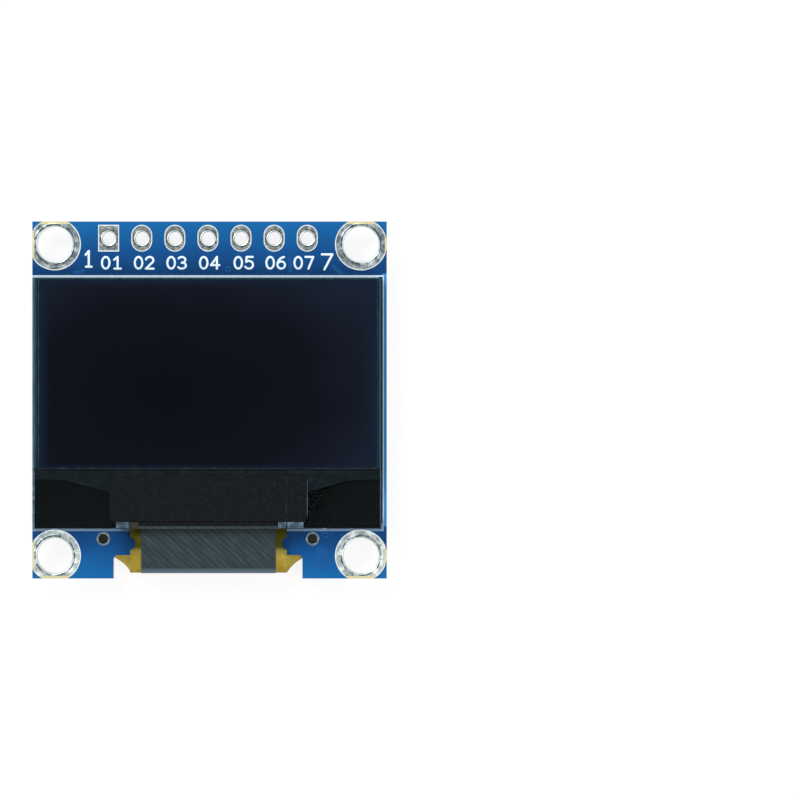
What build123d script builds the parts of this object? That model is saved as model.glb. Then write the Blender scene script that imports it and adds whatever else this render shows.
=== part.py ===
"""Small graphic display module: a dark glass panel bonded to a square circuit board.

The panel's flex tail folds through a notch in the board's lower edge and is soldered to
thirty pads on the back, beside a row of small chip parts. Seven header holes run along the
top edge and four tinned mounting holes sit in the corners.

Frame: the origin is the centre of the four mounting holes on the board's back face. +Z leaves
the board through the display and +Y points to the row of header holes. Lengths are millimetres.
"""

import os
from math import cos, radians, tan

from build123d import *

os.makedirs("parts", exist_ok=True)

# Circuit board
board_width = 27.2
board_height = 27.4
board_thickness = 1.2
board_offset_x = 0.12  # the outline lies slightly to one side of the hole pattern
notch_width = 14.5
notch_depth = 1.8
notch_corner = 0.35
plating = 0.04  # copper and tin on every pad
lining = 0.05  # copper and tin in every plated hole
ink = 0.02  # thickness of the printed white lines

# Mounting holes
hole_edge_x = 1.85  # from the board's sides to the holes
hole_edge_y = 1.75
hole_diameter = 2.7
ring_diameter = 4.0

# Header row
pin_count = 7
pin_pitch = 2.54
pin_row_edge = 1.28  # from the board's top edge
pin_hole_diameter = 1.0
pin_pad_width = 1.6
pin_pad_length = 2.05

# Locating holes of the flex tail
locating_gap_x = 0.78  # from the sides of the notch
locating_gap_y = 1.0172  # above the slanted edge of the wing
locating_hole_diameter = 0.75
locating_ring_diameter = 1.05

# Display panel, from the board outwards
panel_tape_thickness = 0.3
panel_tape_margin = 0.06
cap_glass_thickness = 0.55
ledge_height = 4.2  # the front glass reaches this far below the cap glass
cap_rim = 1.3
cap_recess_depth = 0.3
seal_thickness = 0.02
front_glass_thickness = 0.65
glass_left_edge = 0.07  # from the board's edges to the glass
glass_right_edge = 0.43
glass_top_edge = 4.33
glass_bottom_edge = 3.81
polariser_thickness = 0.2
polariser_left_margin = 0.525  # from the edges of the cap glass
polariser_right_margin = 0.325
polariser_top_margin = 0.17
polariser_bottom_margin = 0.49
emitter_thickness = 0.03
emitter_margin = 0.5
desiccant_thickness = 0.15
desiccant_margin = 2.0

# Driver chip behind the glass ledge and the black tape that keeps light from it
driver_length = 6.76
driver_width = 0.86
driver_thickness = 0.3
chip_tape_length = 15.1
chip_tape_margin = 0.59  # from the lower edge of the front glass
chip_tape_thickness = 0.1
chip_tape_corner = 0.35
chip_tape_gap = 0.06  # from the lower edge of the cap glass

# Flex tail
flex_thickness = 0.1
flex_x = 0.06
flex_bond = 1.1  # overlap of the tail on the glass ledge
tail_clearance = 1.25  # on each side, in the notch
tail_bite_radius = 0.5
tail_bite_inset = 0.38  # how far each rounded bite reaches into the tail's edge
tail_bite_rise = 0.9  # above the notch
fold_inset = 0.45  # from the board's lower edge to the outermost line of the fold
fold_radius = 0.6
wing_margin = 0.53  # outside the last fingers
wing_rise = 5.9  # top of the wing above the notch
wing_shoulder_rise = 2.0
wing_angle = 30.5
wing_waist = 1.0  # the slanted edge turns into an arc this far outside the tail's edge
guard_inset = 0.85
guard_thickness = 0.04
guard_gap = 0.05

# Soldered fingers and the traces that fan in to the fold
finger_count = 30
finger_pitch = 0.7
finger_width = 0.46
finger_length = 1.95
finger_solder = 0.04
finger_ramp = 0.5
flex_pad_width = 0.36
flex_pad_reach = 1.65  # beyond the top of the wing
adhesive_gap = 0.25
trace_thickness = 0.015
trace_width = 0.22
trace_angle = 30.0
trace_land = 1.02  # from the finger to the first knee
trace_knee_step = 0.065
bundle_line = 0.13
bundle_pitch = 0.29
bundle_inset = 2.2
stub_length = 1.15
stub_indexes = {0, 6, finger_count - 1}  # fingers that lead nowhere

# Chip capacitors and resistors share one footprint
chip_length = 1.6
chip_width = 0.8
chip_end = 0.38  # length of each metal end
chip_end_skin = 0.025
capacitor_height = 0.8
resistor_height = 0.46
chip_edge = 0.05
chip_pads_length = 2.6
chip_pad_length = 0.93
chip_pad_width = 0.95
solder_climb = 0.55  # share of a chip's height that its solder reaches
solder_dip = 0.06  # hollow of a solder fillet

# Three-leaded transistor
transistor_length = 2.9
transistor_width = 1.3
transistor_height = 1.0
transistor_standoff = 0.06
transistor_draft = 8
lead_width = 0.42
lead_thickness = 0.13
lead_spacing = 1.9
lead_reach = 2.4  # across the tips of the leads
lead_bend = 0.12
lead_foot = 0.35
lead_pad_length = 1.4
wide_pad_width = 1.2
narrow_pad_width = 1.05

# Places on the back, each at the middle of its two pads: across as shares of the board's width,
# and up as shares of the free height between the flex pads and the header pads
row_share = 0.26675
row_capacitor_shares = (0.42169, 0.32794, -0.11434, -0.20257, -0.29081)
row_resistor_shares = (0.23676, 0.05846, -0.02978)
row_empty_shares = (0.14853,)
upper_share = 0.67005
upper_capacitor_shares = (0.38015, 0.26801)
ladder_share_x = -0.15919
ladder_share_y = 0.65227
ladder_pitch_share = 0.11559
ladder_row_count = 4
ladder_fitted_indexes = {0, 3}
transistor_share_x = 0.14706
transistor_share_y = 0.64656
upright_angle = 90

# Printed white lines
bracket_width = 2.1
bracket_height = 3.7
bracket_line = 0.3
bracket_opening = 0.65
ladder_box_width = 3.72
rung_opening = 0.7
thin_line = 0.2
thin_line_gap = 0.1
wing_tick = 0.5  # short leg of the line at each upper corner of the wing
sill_gap = 0.25  # from the notch to the start of the line under the wing
sill_length = 1.65
sill_rise = 0.6
sill_run = 0.45
transistor_line_rise = 0.6
transistor_line_inset = 0.7
transistor_line_drop = 0.9
transistor_dot = 0.4
transistor_dot_y = -1.08
panel_line = 0.17
panel_line_gap = 0.12
print_clearance = 0.1  # kept between the print and every pad

# Board features, worked out from its edges
lining_height = board_thickness + 2 * plating
hole_radius = hole_diameter / 2
hole_spacing_x = board_width - 2 * hole_edge_x
hole_spacing_y = board_height - 2 * hole_edge_y
board_bottom_y = -board_height / 2
board_left_x = board_offset_x - board_width / 2
notch_top_y = board_bottom_y + notch_depth
pin_hole_radius = pin_hole_diameter / 2
pin_row_y = board_height / 2 - pin_row_edge
locating_radius = locating_hole_diameter / 2
locating_spacing = notch_width + 2 * locating_gap_x

# Panel outlines and levels, from the board outwards
glass_width = board_width - glass_left_edge - glass_right_edge
glass_height = board_height - glass_top_edge - glass_bottom_edge
glass_x = board_left_x + glass_left_edge + glass_width / 2
glass_bottom_y = board_bottom_y + glass_bottom_edge
glass_y = glass_bottom_y + glass_height / 2
glass_top_y = glass_bottom_y + glass_height
glass_right_x = glass_x + glass_width / 2
cap_height = glass_height - ledge_height
cap_y = glass_top_y - cap_height / 2
cap_bottom_y = glass_top_y - cap_height
cap_z = board_thickness + panel_tape_thickness
seal_z = cap_z + cap_glass_thickness
front_glass_z = seal_z + seal_thickness
polariser_z = front_glass_z + front_glass_thickness
polariser_width = glass_width - polariser_left_margin - polariser_right_margin
polariser_height = cap_height - polariser_top_margin - polariser_bottom_margin
polariser_x = glass_x + (polariser_left_margin - polariser_right_margin) / 2
driver_z = front_glass_z - driver_thickness
chip_tape_width = ledge_height - chip_tape_gap - chip_tape_margin
chip_tape_y = cap_bottom_y - chip_tape_gap - chip_tape_width / 2

# Flex tail, worked out from the notch and the fingers
flex_front_z = front_glass_z
flex_back_z = -plating - flex_thickness
flex_middle_z = (flex_front_z + flex_back_z) / 2
tail_width = notch_width - 2 * tail_clearance
tail_bite_y = notch_top_y + tail_bite_rise
fold_y = board_bottom_y + fold_inset
wing_width = finger_count * finger_pitch + 2 * wing_margin
wing_top_y = notch_top_y + wing_rise
wing_half = wing_width / 2
wing_shoulder_y = notch_top_y + wing_shoulder_rise
wing_slope = tan(radians(wing_angle))
locating_y = wing_shoulder_y - (wing_half - locating_spacing / 2) * wing_slope + locating_gap_y
guard_width = tail_width - 2 * guard_inset
finger_bottom_y = wing_top_y - finger_length
flex_pad_top_y = wing_top_y + flex_pad_reach
trace_knee_y = finger_bottom_y - trace_land
bundle_half_width = tail_width / 2 - bundle_inset
stub_end_y = finger_bottom_y - stub_length

# Places on the back
field_height = pin_row_y - pin_pad_length / 2 - flex_pad_top_y
row_y = flex_pad_top_y + row_share * field_height
upper_y = flex_pad_top_y + upper_share * field_height
ladder_x = ladder_share_x * board_width
ladder_y = flex_pad_top_y + ladder_share_y * field_height
ladder_pitch = ladder_pitch_share * field_height
transistor_x = transistor_share_x * board_width
transistor_y = flex_pad_top_y + transistor_share_y * field_height


def save(piece, name):
    """Labels a finished piece and writes it to its own file."""
    piece.label = name
    export_step(piece, f"parts/{name}.step")


def plate(name, level, thickness, centre, size):
    """Writes a plain rectangular sheet that starts at a level and grows upwards."""
    with BuildPart() as sheet:
        with BuildSketch(Plane.XY.offset(level)):
            with Locations(centre):
                Rectangle(*size)
        extrude(amount=thickness)
    save(sheet.part, name)


def facing_back(x, y, turn=0):
    """Plane on the board's back face at a place, its normal pointing away from the board."""
    return Plane(origin=(x, y, 0), x_dir=(1, 0, 0), z_dir=(0, 0, -1)).rotated((0, 0, turn))


# Board with its notch and drilled holes
with BuildPart() as printed_board:
    with BuildSketch() as outline:
        with Locations((board_offset_x, 0)):
            Rectangle(board_width, board_height)
        with Locations((0, board_bottom_y + notch_depth / 2)):
            Rectangle(notch_width, notch_depth, mode=Mode.SUBTRACT)
        fillet(outline.vertices().group_by(Axis.Y)[1], notch_corner)
        with GridLocations(hole_spacing_x, hole_spacing_y, 2, 2):
            Circle(hole_radius + lining, mode=Mode.SUBTRACT)
        with Locations((0, pin_row_y)):
            with GridLocations(pin_pitch, 0, pin_count, 1):
                Circle(pin_hole_radius + lining, mode=Mode.SUBTRACT)
        with Locations((0, locating_y)):
            with GridLocations(locating_spacing, 0, 2, 1):
                Circle(locating_radius + lining, mode=Mode.SUBTRACT)
    extrude(amount=board_thickness)
save(printed_board.part, "printed_board")

# Four plated mounting holes, whose rings are cut off at the board's edge
with BuildPart() as mounting_rings:
    for level, growth in ((board_thickness, plating), (0, -plating)):
        with BuildSketch(Plane.XY.offset(level)):
            with GridLocations(hole_spacing_x, hole_spacing_y, 2, 2):
                Circle(ring_diameter / 2)
            with Locations((board_offset_x, 0)):
                Rectangle(board_width, board_height, mode=Mode.INTERSECT)
            with GridLocations(hole_spacing_x, hole_spacing_y, 2, 2):
                Circle(hole_radius + lining, mode=Mode.SUBTRACT)
        extrude(amount=growth)
    with BuildSketch(Plane.XY.offset(-plating)):
        with GridLocations(hole_spacing_x, hole_spacing_y, 2, 2):
            Circle(hole_radius + lining)
            Circle(hole_radius, mode=Mode.SUBTRACT)
    extrude(amount=lining_height)
save(mounting_rings.part, "mounting_rings")


def header_pad(index):
    """One plated header hole with a pad on each face; the first pad is square."""
    centre = ((index - (pin_count - 1) / 2) * pin_pitch, pin_row_y)
    with BuildPart() as pad:
        for level, growth in ((board_thickness, plating), (0, -plating)):
            with BuildSketch(Plane.XY.offset(level)):
                with Locations(centre):
                    if index == 0:
                        Rectangle(pin_pad_width, pin_pad_length)
                    else:
                        SlotOverall(pin_pad_length, pin_pad_width, rotation=90)
                    Circle(pin_hole_radius + lining, mode=Mode.SUBTRACT)
            extrude(amount=growth)
        with BuildSketch(Plane.XY.offset(-plating)):
            with Locations(centre):
                Circle(pin_hole_radius + lining)
                Circle(pin_hole_radius, mode=Mode.SUBTRACT)
        extrude(amount=lining_height)
    return pad.part


for index in range(pin_count):
    save(header_pad(index), f"header_pad_{index + 1}")

# Plated locating holes, with a ring on the display side only
with BuildPart() as locating_rings:
    with BuildSketch(Plane.XY.offset(board_thickness)):
        with Locations((0, locating_y)):
            with GridLocations(locating_spacing, 0, 2, 1):
                Circle(locating_ring_diameter / 2)
                Circle(locating_radius, mode=Mode.SUBTRACT)
    extrude(amount=plating)
    with BuildSketch():
        with Locations((0, locating_y)):
            with GridLocations(locating_spacing, 0, 2, 1):
                Circle(locating_radius + lining)
                Circle(locating_radius, mode=Mode.SUBTRACT)
    extrude(amount=board_thickness)
save(locating_rings.part, "locating_rings")

# Panel stack: foam tape, cap glass with its recess, seal, layers inside, front glass, polariser
plate(
    "panel_tape",
    board_thickness,
    panel_tape_thickness,
    (glass_x, glass_y),
    (glass_width - 2 * panel_tape_margin, glass_height - 2 * panel_tape_margin),
)

recess_size = (glass_width - 2 * cap_rim, cap_height - 2 * cap_rim)
with BuildPart() as cap_glass:
    with BuildSketch(Plane.XY.offset(cap_z)):
        with Locations((glass_x, cap_y)):
            Rectangle(glass_width, cap_height)
    extrude(amount=cap_glass_thickness)
    with BuildSketch(Plane.XY.offset(seal_z)):
        with Locations((glass_x, cap_y)):
            Rectangle(*recess_size)
    extrude(amount=-cap_recess_depth, mode=Mode.SUBTRACT)
save(cap_glass.part, "cap_glass")

with BuildPart() as seal_frame:
    with BuildSketch(Plane.XY.offset(seal_z)):
        with Locations((glass_x, cap_y)):
            Rectangle(glass_width, cap_height)
            Rectangle(*recess_size, mode=Mode.SUBTRACT)
    extrude(amount=seal_thickness)
save(seal_frame.part, "seal_frame")

plate(
    "desiccant_sheet",
    seal_z - cap_recess_depth,
    desiccant_thickness,
    (glass_x, cap_y),
    (recess_size[0] - 2 * desiccant_margin, recess_size[1] - 2 * desiccant_margin),
)
plate(
    "emitter_layer",
    front_glass_z - emitter_thickness,
    emitter_thickness,
    (glass_x, cap_y),
    (recess_size[0] - 2 * emitter_margin, recess_size[1] - 2 * emitter_margin),
)
plate(
    "front_glass",
    front_glass_z,
    front_glass_thickness,
    (glass_x, glass_y),
    (glass_width, glass_height),
)
plate(
    "polariser",
    polariser_z,
    polariser_thickness,
    (polariser_x, glass_top_y - polariser_top_margin - polariser_height / 2),
    (polariser_width, polariser_height),
)
plate(
    "driver_chip",
    driver_z,
    driver_thickness,
    (flex_x, chip_tape_y),
    (driver_length, driver_width),
)

with BuildPart() as chip_tape:
    with BuildSketch(Plane.XY.offset(polariser_z)):
        with Locations((flex_x, chip_tape_y)):
            RectangleRounded(chip_tape_length, chip_tape_width, chip_tape_corner)
    extrude(amount=chip_tape_thickness)
save(chip_tape.part, "chip_tape")

# Flex tail: one bent strip, trimmed to the narrow tail in front and to the wide wing behind
tail_half = tail_width / 2
waist_x = tail_half + wing_waist
waist_y = wing_shoulder_y - (wing_half - waist_x) * wing_slope
flex_plane = Plane((flex_x, 0, flex_middle_z))
flex_side_plane = Plane((flex_x, 0, 0), x_dir=(0, 1, 0), z_dir=(1, 0, 0))
blank_size = (2 * wing_width, 2 * board_height)
locating_places = [(side * locating_spacing / 2 - flex_x, locating_y) for side in (-1, 1)]


def wing_outline(mode):
    """Outline of the soldered wing: straight sides, slanted shoulders and an arc into the fold."""
    with BuildLine() as edges:
        shoulder = (wing_half, wing_shoulder_y)
        side = Polyline((0, wing_top_y), (wing_half, wing_top_y), shoulder, (waist_x, waist_y))
        arc = TangentArc(side @ 1, (tail_half, fold_y), tangent=side % 1)
        Line(arc @ 1, (0, fold_y))
        mirror(about=Plane.YZ)
    make_face(edges.edges(), mode=mode)


with BuildPart() as flex_tail:
    with BuildSketch(flex_side_plane):
        with BuildLine():
            middle_front = flex_front_z - flex_thickness / 2
            middle_back = flex_back_z + flex_thickness / 2
            middle_fold = fold_y + flex_thickness / 2
            FilletPolyline(
                (glass_bottom_y + flex_bond, middle_front),
                (middle_fold, middle_front),
                (middle_fold, middle_back),
                (wing_top_y, middle_back),
                radius=fold_radius - flex_thickness / 2,
            )
        trace(line_width=flex_thickness)
    extrude(amount=wing_half, both=True)
    with BuildSketch(flex_plane):
        Rectangle(*blank_size)
        with Locations((0, fold_y + board_height / 2)):
            Rectangle(tail_width, board_height, mode=Mode.SUBTRACT)
        bite_x = tail_half - tail_bite_inset + tail_bite_radius
        with Locations((bite_x, tail_bite_y), (-bite_x, tail_bite_y)):
            Circle(tail_bite_radius)
    extrude(amount=flex_front_z - flex_middle_z, mode=Mode.SUBTRACT)
    with BuildSketch(flex_plane):
        Rectangle(*blank_size)
        wing_outline(Mode.SUBTRACT)
        with Locations(*locating_places):
            Circle(locating_radius)
    extrude(amount=flex_back_z - flex_middle_z, mode=Mode.SUBTRACT)
save(flex_tail.part, "flex_tail")

# Dark strip on the outside of the fold
guard_end_y = fold_y + fold_radius + guard_gap
with BuildPart() as flex_guard_strip:
    with BuildSketch(flex_side_plane):
        with BuildLine():
            guard_front = flex_front_z + guard_thickness / 2
            guard_back = flex_back_z - guard_thickness / 2
            guard_fold = fold_y - guard_thickness / 2
            FilletPolyline(
                (glass_bottom_y - guard_gap, guard_front),
                (guard_fold, guard_front),
                (guard_fold, guard_back),
                (guard_end_y, guard_back),
                radius=fold_radius + guard_thickness / 2,
            )
        trace(line_width=guard_thickness)
    extrude(amount=guard_width / 2, both=True)
save(flex_guard_strip.part, "flex_guard_strip")

# Clear adhesive that holds the wing to the board below its fingers
with BuildPart() as flex_adhesive:
    with BuildSketch(Plane((flex_x, 0, 0))):
        wing_outline(Mode.ADD)
        adhesive_height = finger_bottom_y - adhesive_gap - notch_top_y
        with Locations((0, notch_top_y + adhesive_height / 2)):
            Rectangle(wing_width, adhesive_height, mode=Mode.INTERSECT)
    extrude(amount=-plating)
save(flex_adhesive.part, "flex_adhesive")

# Thirty board pads, and the tinned fingers soldered over them
with BuildPart() as flex_pads:
    with BuildSketch():
        with Locations((0, (flex_pad_top_y + finger_bottom_y) / 2)):
            with GridLocations(finger_pitch, 0, finger_count, 1):
                Rectangle(flex_pad_width, flex_pad_top_y - finger_bottom_y)
    extrude(amount=-plating)
save(flex_pads.part, "flex_pads")

finger_x = [flex_x + (index - (finger_count - 1) / 2) * finger_pitch for index in range(finger_count)]
with BuildPart() as solder_fingers:
    for x in finger_x:
        with BuildSketch(Plane((x, 0, 0), x_dir=(0, 1, 0), z_dir=(1, 0, 0))):
            with BuildLine():
                Polyline(
                    (wing_top_y, -plating),
                    (wing_top_y + finger_ramp, -plating),
                    (wing_top_y, flex_back_z - finger_solder),
                    (finger_bottom_y, flex_back_z - finger_solder),
                    (finger_bottom_y, flex_back_z),
                    (wing_top_y, flex_back_z),
                    close=True,
                )
            make_face()
        extrude(amount=finger_width / 2, both=True)
save(solder_fingers.part, "solder_fingers")

# Copper traces on the wing: each runs down from its finger, slants in and drops to the fold
slant = tan(radians(trace_angle))
slant_height = trace_width / cos(radians(trace_angle))


def trace_shape(start_x, end_x, knee_y):
    """One trace: a broad land under the finger, a slanted run and a narrow line to the fold."""
    bend_y = knee_y - abs(end_x - start_x) * slant
    half_slant = slant_height / 2
    with Locations((start_x, (finger_bottom_y + knee_y) / 2)):
        Rectangle(finger_width, finger_bottom_y - knee_y)
    Polygon(
        (start_x, knee_y + half_slant),
        (end_x, bend_y + half_slant),
        (end_x, bend_y - half_slant),
        (start_x, knee_y - half_slant),
        align=None,
    )
    with Locations((end_x, (bend_y + guard_end_y) / 2)):
        Rectangle(bundle_line, bend_y - guard_end_y)


with BuildPart() as flex_traces:
    with BuildSketch(Plane.XY.offset(flex_back_z)):
        half = finger_count // 2
        sides = (range(half), range(finger_count - 1, half - 1, -1))
        for side, fingers in zip((-1, 1), sides):
            routed = [index for index in fingers if index not in stub_indexes]
            for step, index in enumerate(routed):
                end_x = flex_x + side * (bundle_half_width - step * bundle_pitch)
                trace_shape(finger_x[index], end_x, trace_knee_y - step * trace_knee_step)
        for index in sorted(stub_indexes):
            with Locations((finger_x[index], (finger_bottom_y + stub_end_y) / 2)):
                Rectangle(finger_width, finger_bottom_y - stub_end_y)
    extrude(amount=-trace_thickness)
save(flex_traces.part, "flex_traces")

# Chip parts on the back
capacitor_places = [(share * board_width, row_y, upright_angle) for share in row_capacitor_shares]
capacitor_places += [(share * board_width, upper_y, upright_angle) for share in upper_capacitor_shares]
resistor_places = [(share * board_width, row_y, upright_angle) for share in row_resistor_shares]
empty_places = [(share * board_width, row_y, upright_angle) for share in row_empty_shares]
bracketed_places = capacitor_places + resistor_places + empty_places
for row in range(ladder_row_count):
    steps_up = (ladder_row_count - 1) / 2 - row
    row_list = resistor_places if row in ladder_fitted_indexes else empty_places
    row_list.append((ladder_x, ladder_y + steps_up * ladder_pitch, 0))
pads_spacing = chip_pads_length - chip_pad_length


def chip_part(place, height):
    """Ceramic body of a chip part and the two metal ends that wrap round it."""
    seat = facing_back(*place).offset(plating + height / 2)
    section = Plane(seat.origin, x_dir=seat.y_dir, z_dir=seat.x_dir)
    core_size = (chip_width - 2 * chip_end_skin, height - 2 * chip_end_skin)
    core_length = chip_length - 2 * chip_end_skin
    with BuildPart() as body:
        with BuildSketch(section) as core:
            RectangleRounded(*core_size, chip_edge)
        extrude(amount=core_length / 2, both=True)
    with BuildPart() as ends:
        with BuildSketch(section):
            RectangleRounded(chip_width, height, chip_edge + chip_end_skin)
        extrude(amount=chip_length / 2, both=True)
        with BuildSketch(section):
            Rectangle(2 * chip_width, 2 * height)
        extrude(amount=chip_length / 2 - chip_end, both=True, mode=Mode.SUBTRACT)
        extrude(core.sketch, amount=core_length / 2, both=True, mode=Mode.SUBTRACT)
    return body.part, ends.part


for index, place in enumerate(capacitor_places, 1):
    body, ends = chip_part(place, capacitor_height)
    save(body, f"capacitor_{index}")
    save(ends, f"capacitor_{index}_ends")
for index, place in enumerate(resistor_places, 1):
    body, ends = chip_part(place, resistor_height)
    save(body, f"resistor_{index}")
    save(ends, f"resistor_{index}_ends")

with BuildPart() as bare_pads:
    for place in empty_places:
        with BuildSketch(facing_back(*place)):
            with GridLocations(pads_spacing, 0, 2, 1):
                Rectangle(chip_pad_length, chip_pad_width)
        extrude(amount=plating)
save(bare_pads.part, "bare_pads")

# Transistor: a body drafted both ways from its parting line, on three bent leads
transistor_seat = facing_back(transistor_x, transistor_y).offset(plating)
parting_height = transistor_standoff + transistor_height / 2
with BuildPart() as transistor_body:
    for growth in (transistor_height / 2, -transistor_height / 2):
        with BuildSketch(transistor_seat.offset(parting_height)):
            Rectangle(transistor_length, transistor_width)
        extrude(amount=growth, taper=transistor_draft)
save(transistor_body.part, "transistor_body")

lead_places = ((0, 1), (-lead_spacing / 2, -1), (lead_spacing / 2, -1))
with BuildPart() as transistor_leads:
    for x, side in lead_places:
        lead_plane = Plane(
            origin=(transistor_x + x, transistor_y, -plating), x_dir=(0, side, 0), z_dir=(side, 0, 0)
        )
        with BuildSketch(lead_plane):
            with BuildLine():
                FilletPolyline(
                    (transistor_width / 2, -parting_height),
                    (lead_reach / 2 - lead_foot, -parting_height),
                    (lead_reach / 2 - lead_foot, -lead_thickness / 2),
                    (lead_reach / 2, -lead_thickness / 2),
                    radius=lead_bend,
                )
            trace(line_width=lead_thickness)
        extrude(amount=lead_width / 2, both=True)
save(transistor_leads.part, "transistor_leads")


def solder_fillet(place, height):
    """Tinned pads of one chip part, each with a hollow fillet climbing the metal end."""
    plane = facing_back(*place)
    top = plating + height * solder_climb
    outer = chip_pads_length / 2
    for side in (-1, 1):
        profile_plane = Plane(plane.origin, x_dir=plane.x_dir * side, z_dir=plane.y_dir * -side)
        with BuildSketch(profile_plane) as profile:
            with BuildLine():
                run = Polyline(
                    (chip_length / 2, top),
                    (chip_length / 2, plating),
                    (outer - chip_pad_length, plating),
                    (outer - chip_pad_length, 0),
                    (outer, 0),
                    (outer, plating),
                )
                SagittaArc(run @ 1, run @ 0, solder_dip)
            make_face()
        extrude(profile.sketch, amount=chip_pad_width / 2, both=True)


with BuildPart() as solder_joints:
    for place in capacitor_places:
        solder_fillet(place, capacitor_height)
    for place in resistor_places:
        solder_fillet(place, resistor_height)
save(solder_joints.part, "solder_joints")

# Tinned pads of the transistor, one wide and two narrow
with BuildPart() as transistor_pads:
    with BuildSketch(facing_back(transistor_x, transistor_y)):
        for x, side in lead_places:
            pad_width = wide_pad_width if side > 0 else narrow_pad_width
            inner_y = lead_reach / 2 - lead_foot - lead_bend
            with Locations((x, -side * (inner_y + lead_pad_length / 2))):
                Rectangle(pad_width, lead_pad_length)
    extrude(amount=plating)
save(transistor_pads.part, "transistor_pads")


def brackets(place):
    """Two facing brackets printed round a chip part, open at the middle of their legs."""
    x, y, turn = place
    with Locations(Location((x, -y), turn)):
        Rectangle(bracket_height, bracket_width)
        Rectangle(bracket_height - 2 * bracket_line, bracket_width - 2 * bracket_line, mode=Mode.SUBTRACT)
        Rectangle(bracket_opening, bracket_width, mode=Mode.SUBTRACT)


# White print on the back: brackets, the ladder of selector parts and the corners of the wing
with BuildPart() as silkscreen_back:
    with BuildSketch(facing_back(0, 0)):
        for place in bracketed_places:
            brackets(place)
        with Locations((ladder_x, -ladder_y)):
            with GridLocations(ladder_box_width - bracket_line, 0, 2, 1):
                Rectangle(bracket_line, ladder_row_count * ladder_pitch + bracket_line)
            rung_spacing = (ladder_box_width + rung_opening) / 2
            with GridLocations(rung_spacing, ladder_pitch, 2, ladder_row_count + 1):
                Rectangle(ladder_box_width - rung_spacing, bracket_line)
        for side in (-1, 1):
            tick_x = flex_x + side * (wing_half + thin_line_gap + thin_line / 2)
            tick_y = -wing_top_y - thin_line / 2
            with BuildLine():
                Polyline((tick_x - side * wing_tick, tick_y), (tick_x, tick_y), (tick_x, -wing_shoulder_y))
            trace(line_width=thin_line)
            sill_start = notch_width / 2 + sill_gap
            sill_end = sill_start + sill_length
            sill_y = thin_line_gap - notch_top_y
            with BuildLine():
                Polyline(
                    (side * sill_start, sill_y),
                    (side * sill_end, sill_y),
                    (side * (sill_end + sill_run), sill_y - sill_rise),
                )
            trace(line_width=thin_line)
            leg_x = transistor_x + side * (transistor_length / 2 + thin_line_gap)
            leg_y = -transistor_y - transistor_width / 2 - transistor_line_rise
            with BuildLine():
                Polyline(
                    (leg_x - side * transistor_line_inset, leg_y),
                    (leg_x, leg_y),
                    (leg_x, leg_y + transistor_line_drop),
                )
            trace(line_width=thin_line)
        with Locations((transistor_x, -transistor_y - transistor_dot_y)):
            Circle(transistor_dot / 2)
        clear_size = (chip_pad_length + 2 * print_clearance, chip_pad_width + 2 * print_clearance)
        for x, y, turn in capacitor_places + resistor_places + empty_places:
            with Locations(Location((x, -y), turn)):
                with GridLocations(pads_spacing, 0, 2, 1):
                    Rectangle(*clear_size, mode=Mode.SUBTRACT)
    extrude(amount=ink)
save(silkscreen_back.part, "silkscreen_back")

# White print on the front: the lines along three sides of the panel
with BuildPart() as silkscreen_front:
    with BuildSketch(Plane.XY.offset(board_thickness)):
        line_right_x = glass_right_x + panel_line_gap
        line_length = line_right_x - board_left_x
        line_x = (line_right_x + board_left_x) / 2
        line_top_y = glass_top_y + panel_line_gap
        line_bottom_y = glass_bottom_y - panel_line / 2
        with Locations((line_x, line_top_y), (line_x, line_bottom_y)):
            Rectangle(line_length, panel_line)
        with Locations((line_right_x, (line_top_y + line_bottom_y) / 2)):
            Rectangle(panel_line, line_top_y - line_bottom_y + panel_line)
        with GridLocations(hole_spacing_x, hole_spacing_y, 2, 2):
            Circle(ring_diameter / 2, mode=Mode.SUBTRACT)
    extrude(amount=ink)
save(silkscreen_front.part, "silkscreen_front")
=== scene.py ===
"""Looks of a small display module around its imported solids: finishes, fine relief, print, stage and camera.

Sizes are millimetres in the part's frame: the origin lies on the board's back face between the four mounting
holes, +Z leaves the board through the display and +Y points to the header holes.
"""

import logging
import math
from collections.abc import Iterable, Sequence
from dataclasses import dataclass, field, replace
from enum import Enum

import bmesh
import bpy
import numpy as np
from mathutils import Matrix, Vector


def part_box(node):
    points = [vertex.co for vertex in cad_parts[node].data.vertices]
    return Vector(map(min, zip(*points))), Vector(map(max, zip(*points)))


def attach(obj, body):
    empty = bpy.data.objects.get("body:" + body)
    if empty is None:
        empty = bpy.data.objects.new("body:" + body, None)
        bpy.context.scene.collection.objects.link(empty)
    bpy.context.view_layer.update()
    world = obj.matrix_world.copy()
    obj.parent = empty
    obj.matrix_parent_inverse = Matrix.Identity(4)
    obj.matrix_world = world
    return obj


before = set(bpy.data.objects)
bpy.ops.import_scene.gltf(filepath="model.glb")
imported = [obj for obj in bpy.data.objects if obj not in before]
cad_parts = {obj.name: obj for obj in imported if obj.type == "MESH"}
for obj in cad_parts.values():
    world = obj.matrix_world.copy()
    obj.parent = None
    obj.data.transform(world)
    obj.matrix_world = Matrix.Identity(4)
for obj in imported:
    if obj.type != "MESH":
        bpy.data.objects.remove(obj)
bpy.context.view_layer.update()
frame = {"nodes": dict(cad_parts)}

MM = 0.001
# A place x in the view from behind lies at this value less x in the frame.
BACK_VIEW_SHIFT = 0.09
# Places of the mounting holes and the header holes, and a pitch that leaves a grid with one row.
HOLES = (11.75, 11.95)
PIN_PITCH = 2.54
PIN_ROW = 12.42
ONE_ROW = 80.0
# A reach past the board's edges.
BEYOND = 90.0
log = logging.getLogger("display_module")

Points = np.ndarray
Pair = tuple[float, float]
Triple = tuple[float, float, float]
Curve = Sequence[Pair]
Stops = Sequence[tuple[float, str]]
Tree = bpy.types.NodeTree
Socket = bpy.types.NodeSocket
Look = tuple[Socket, Socket]


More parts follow.
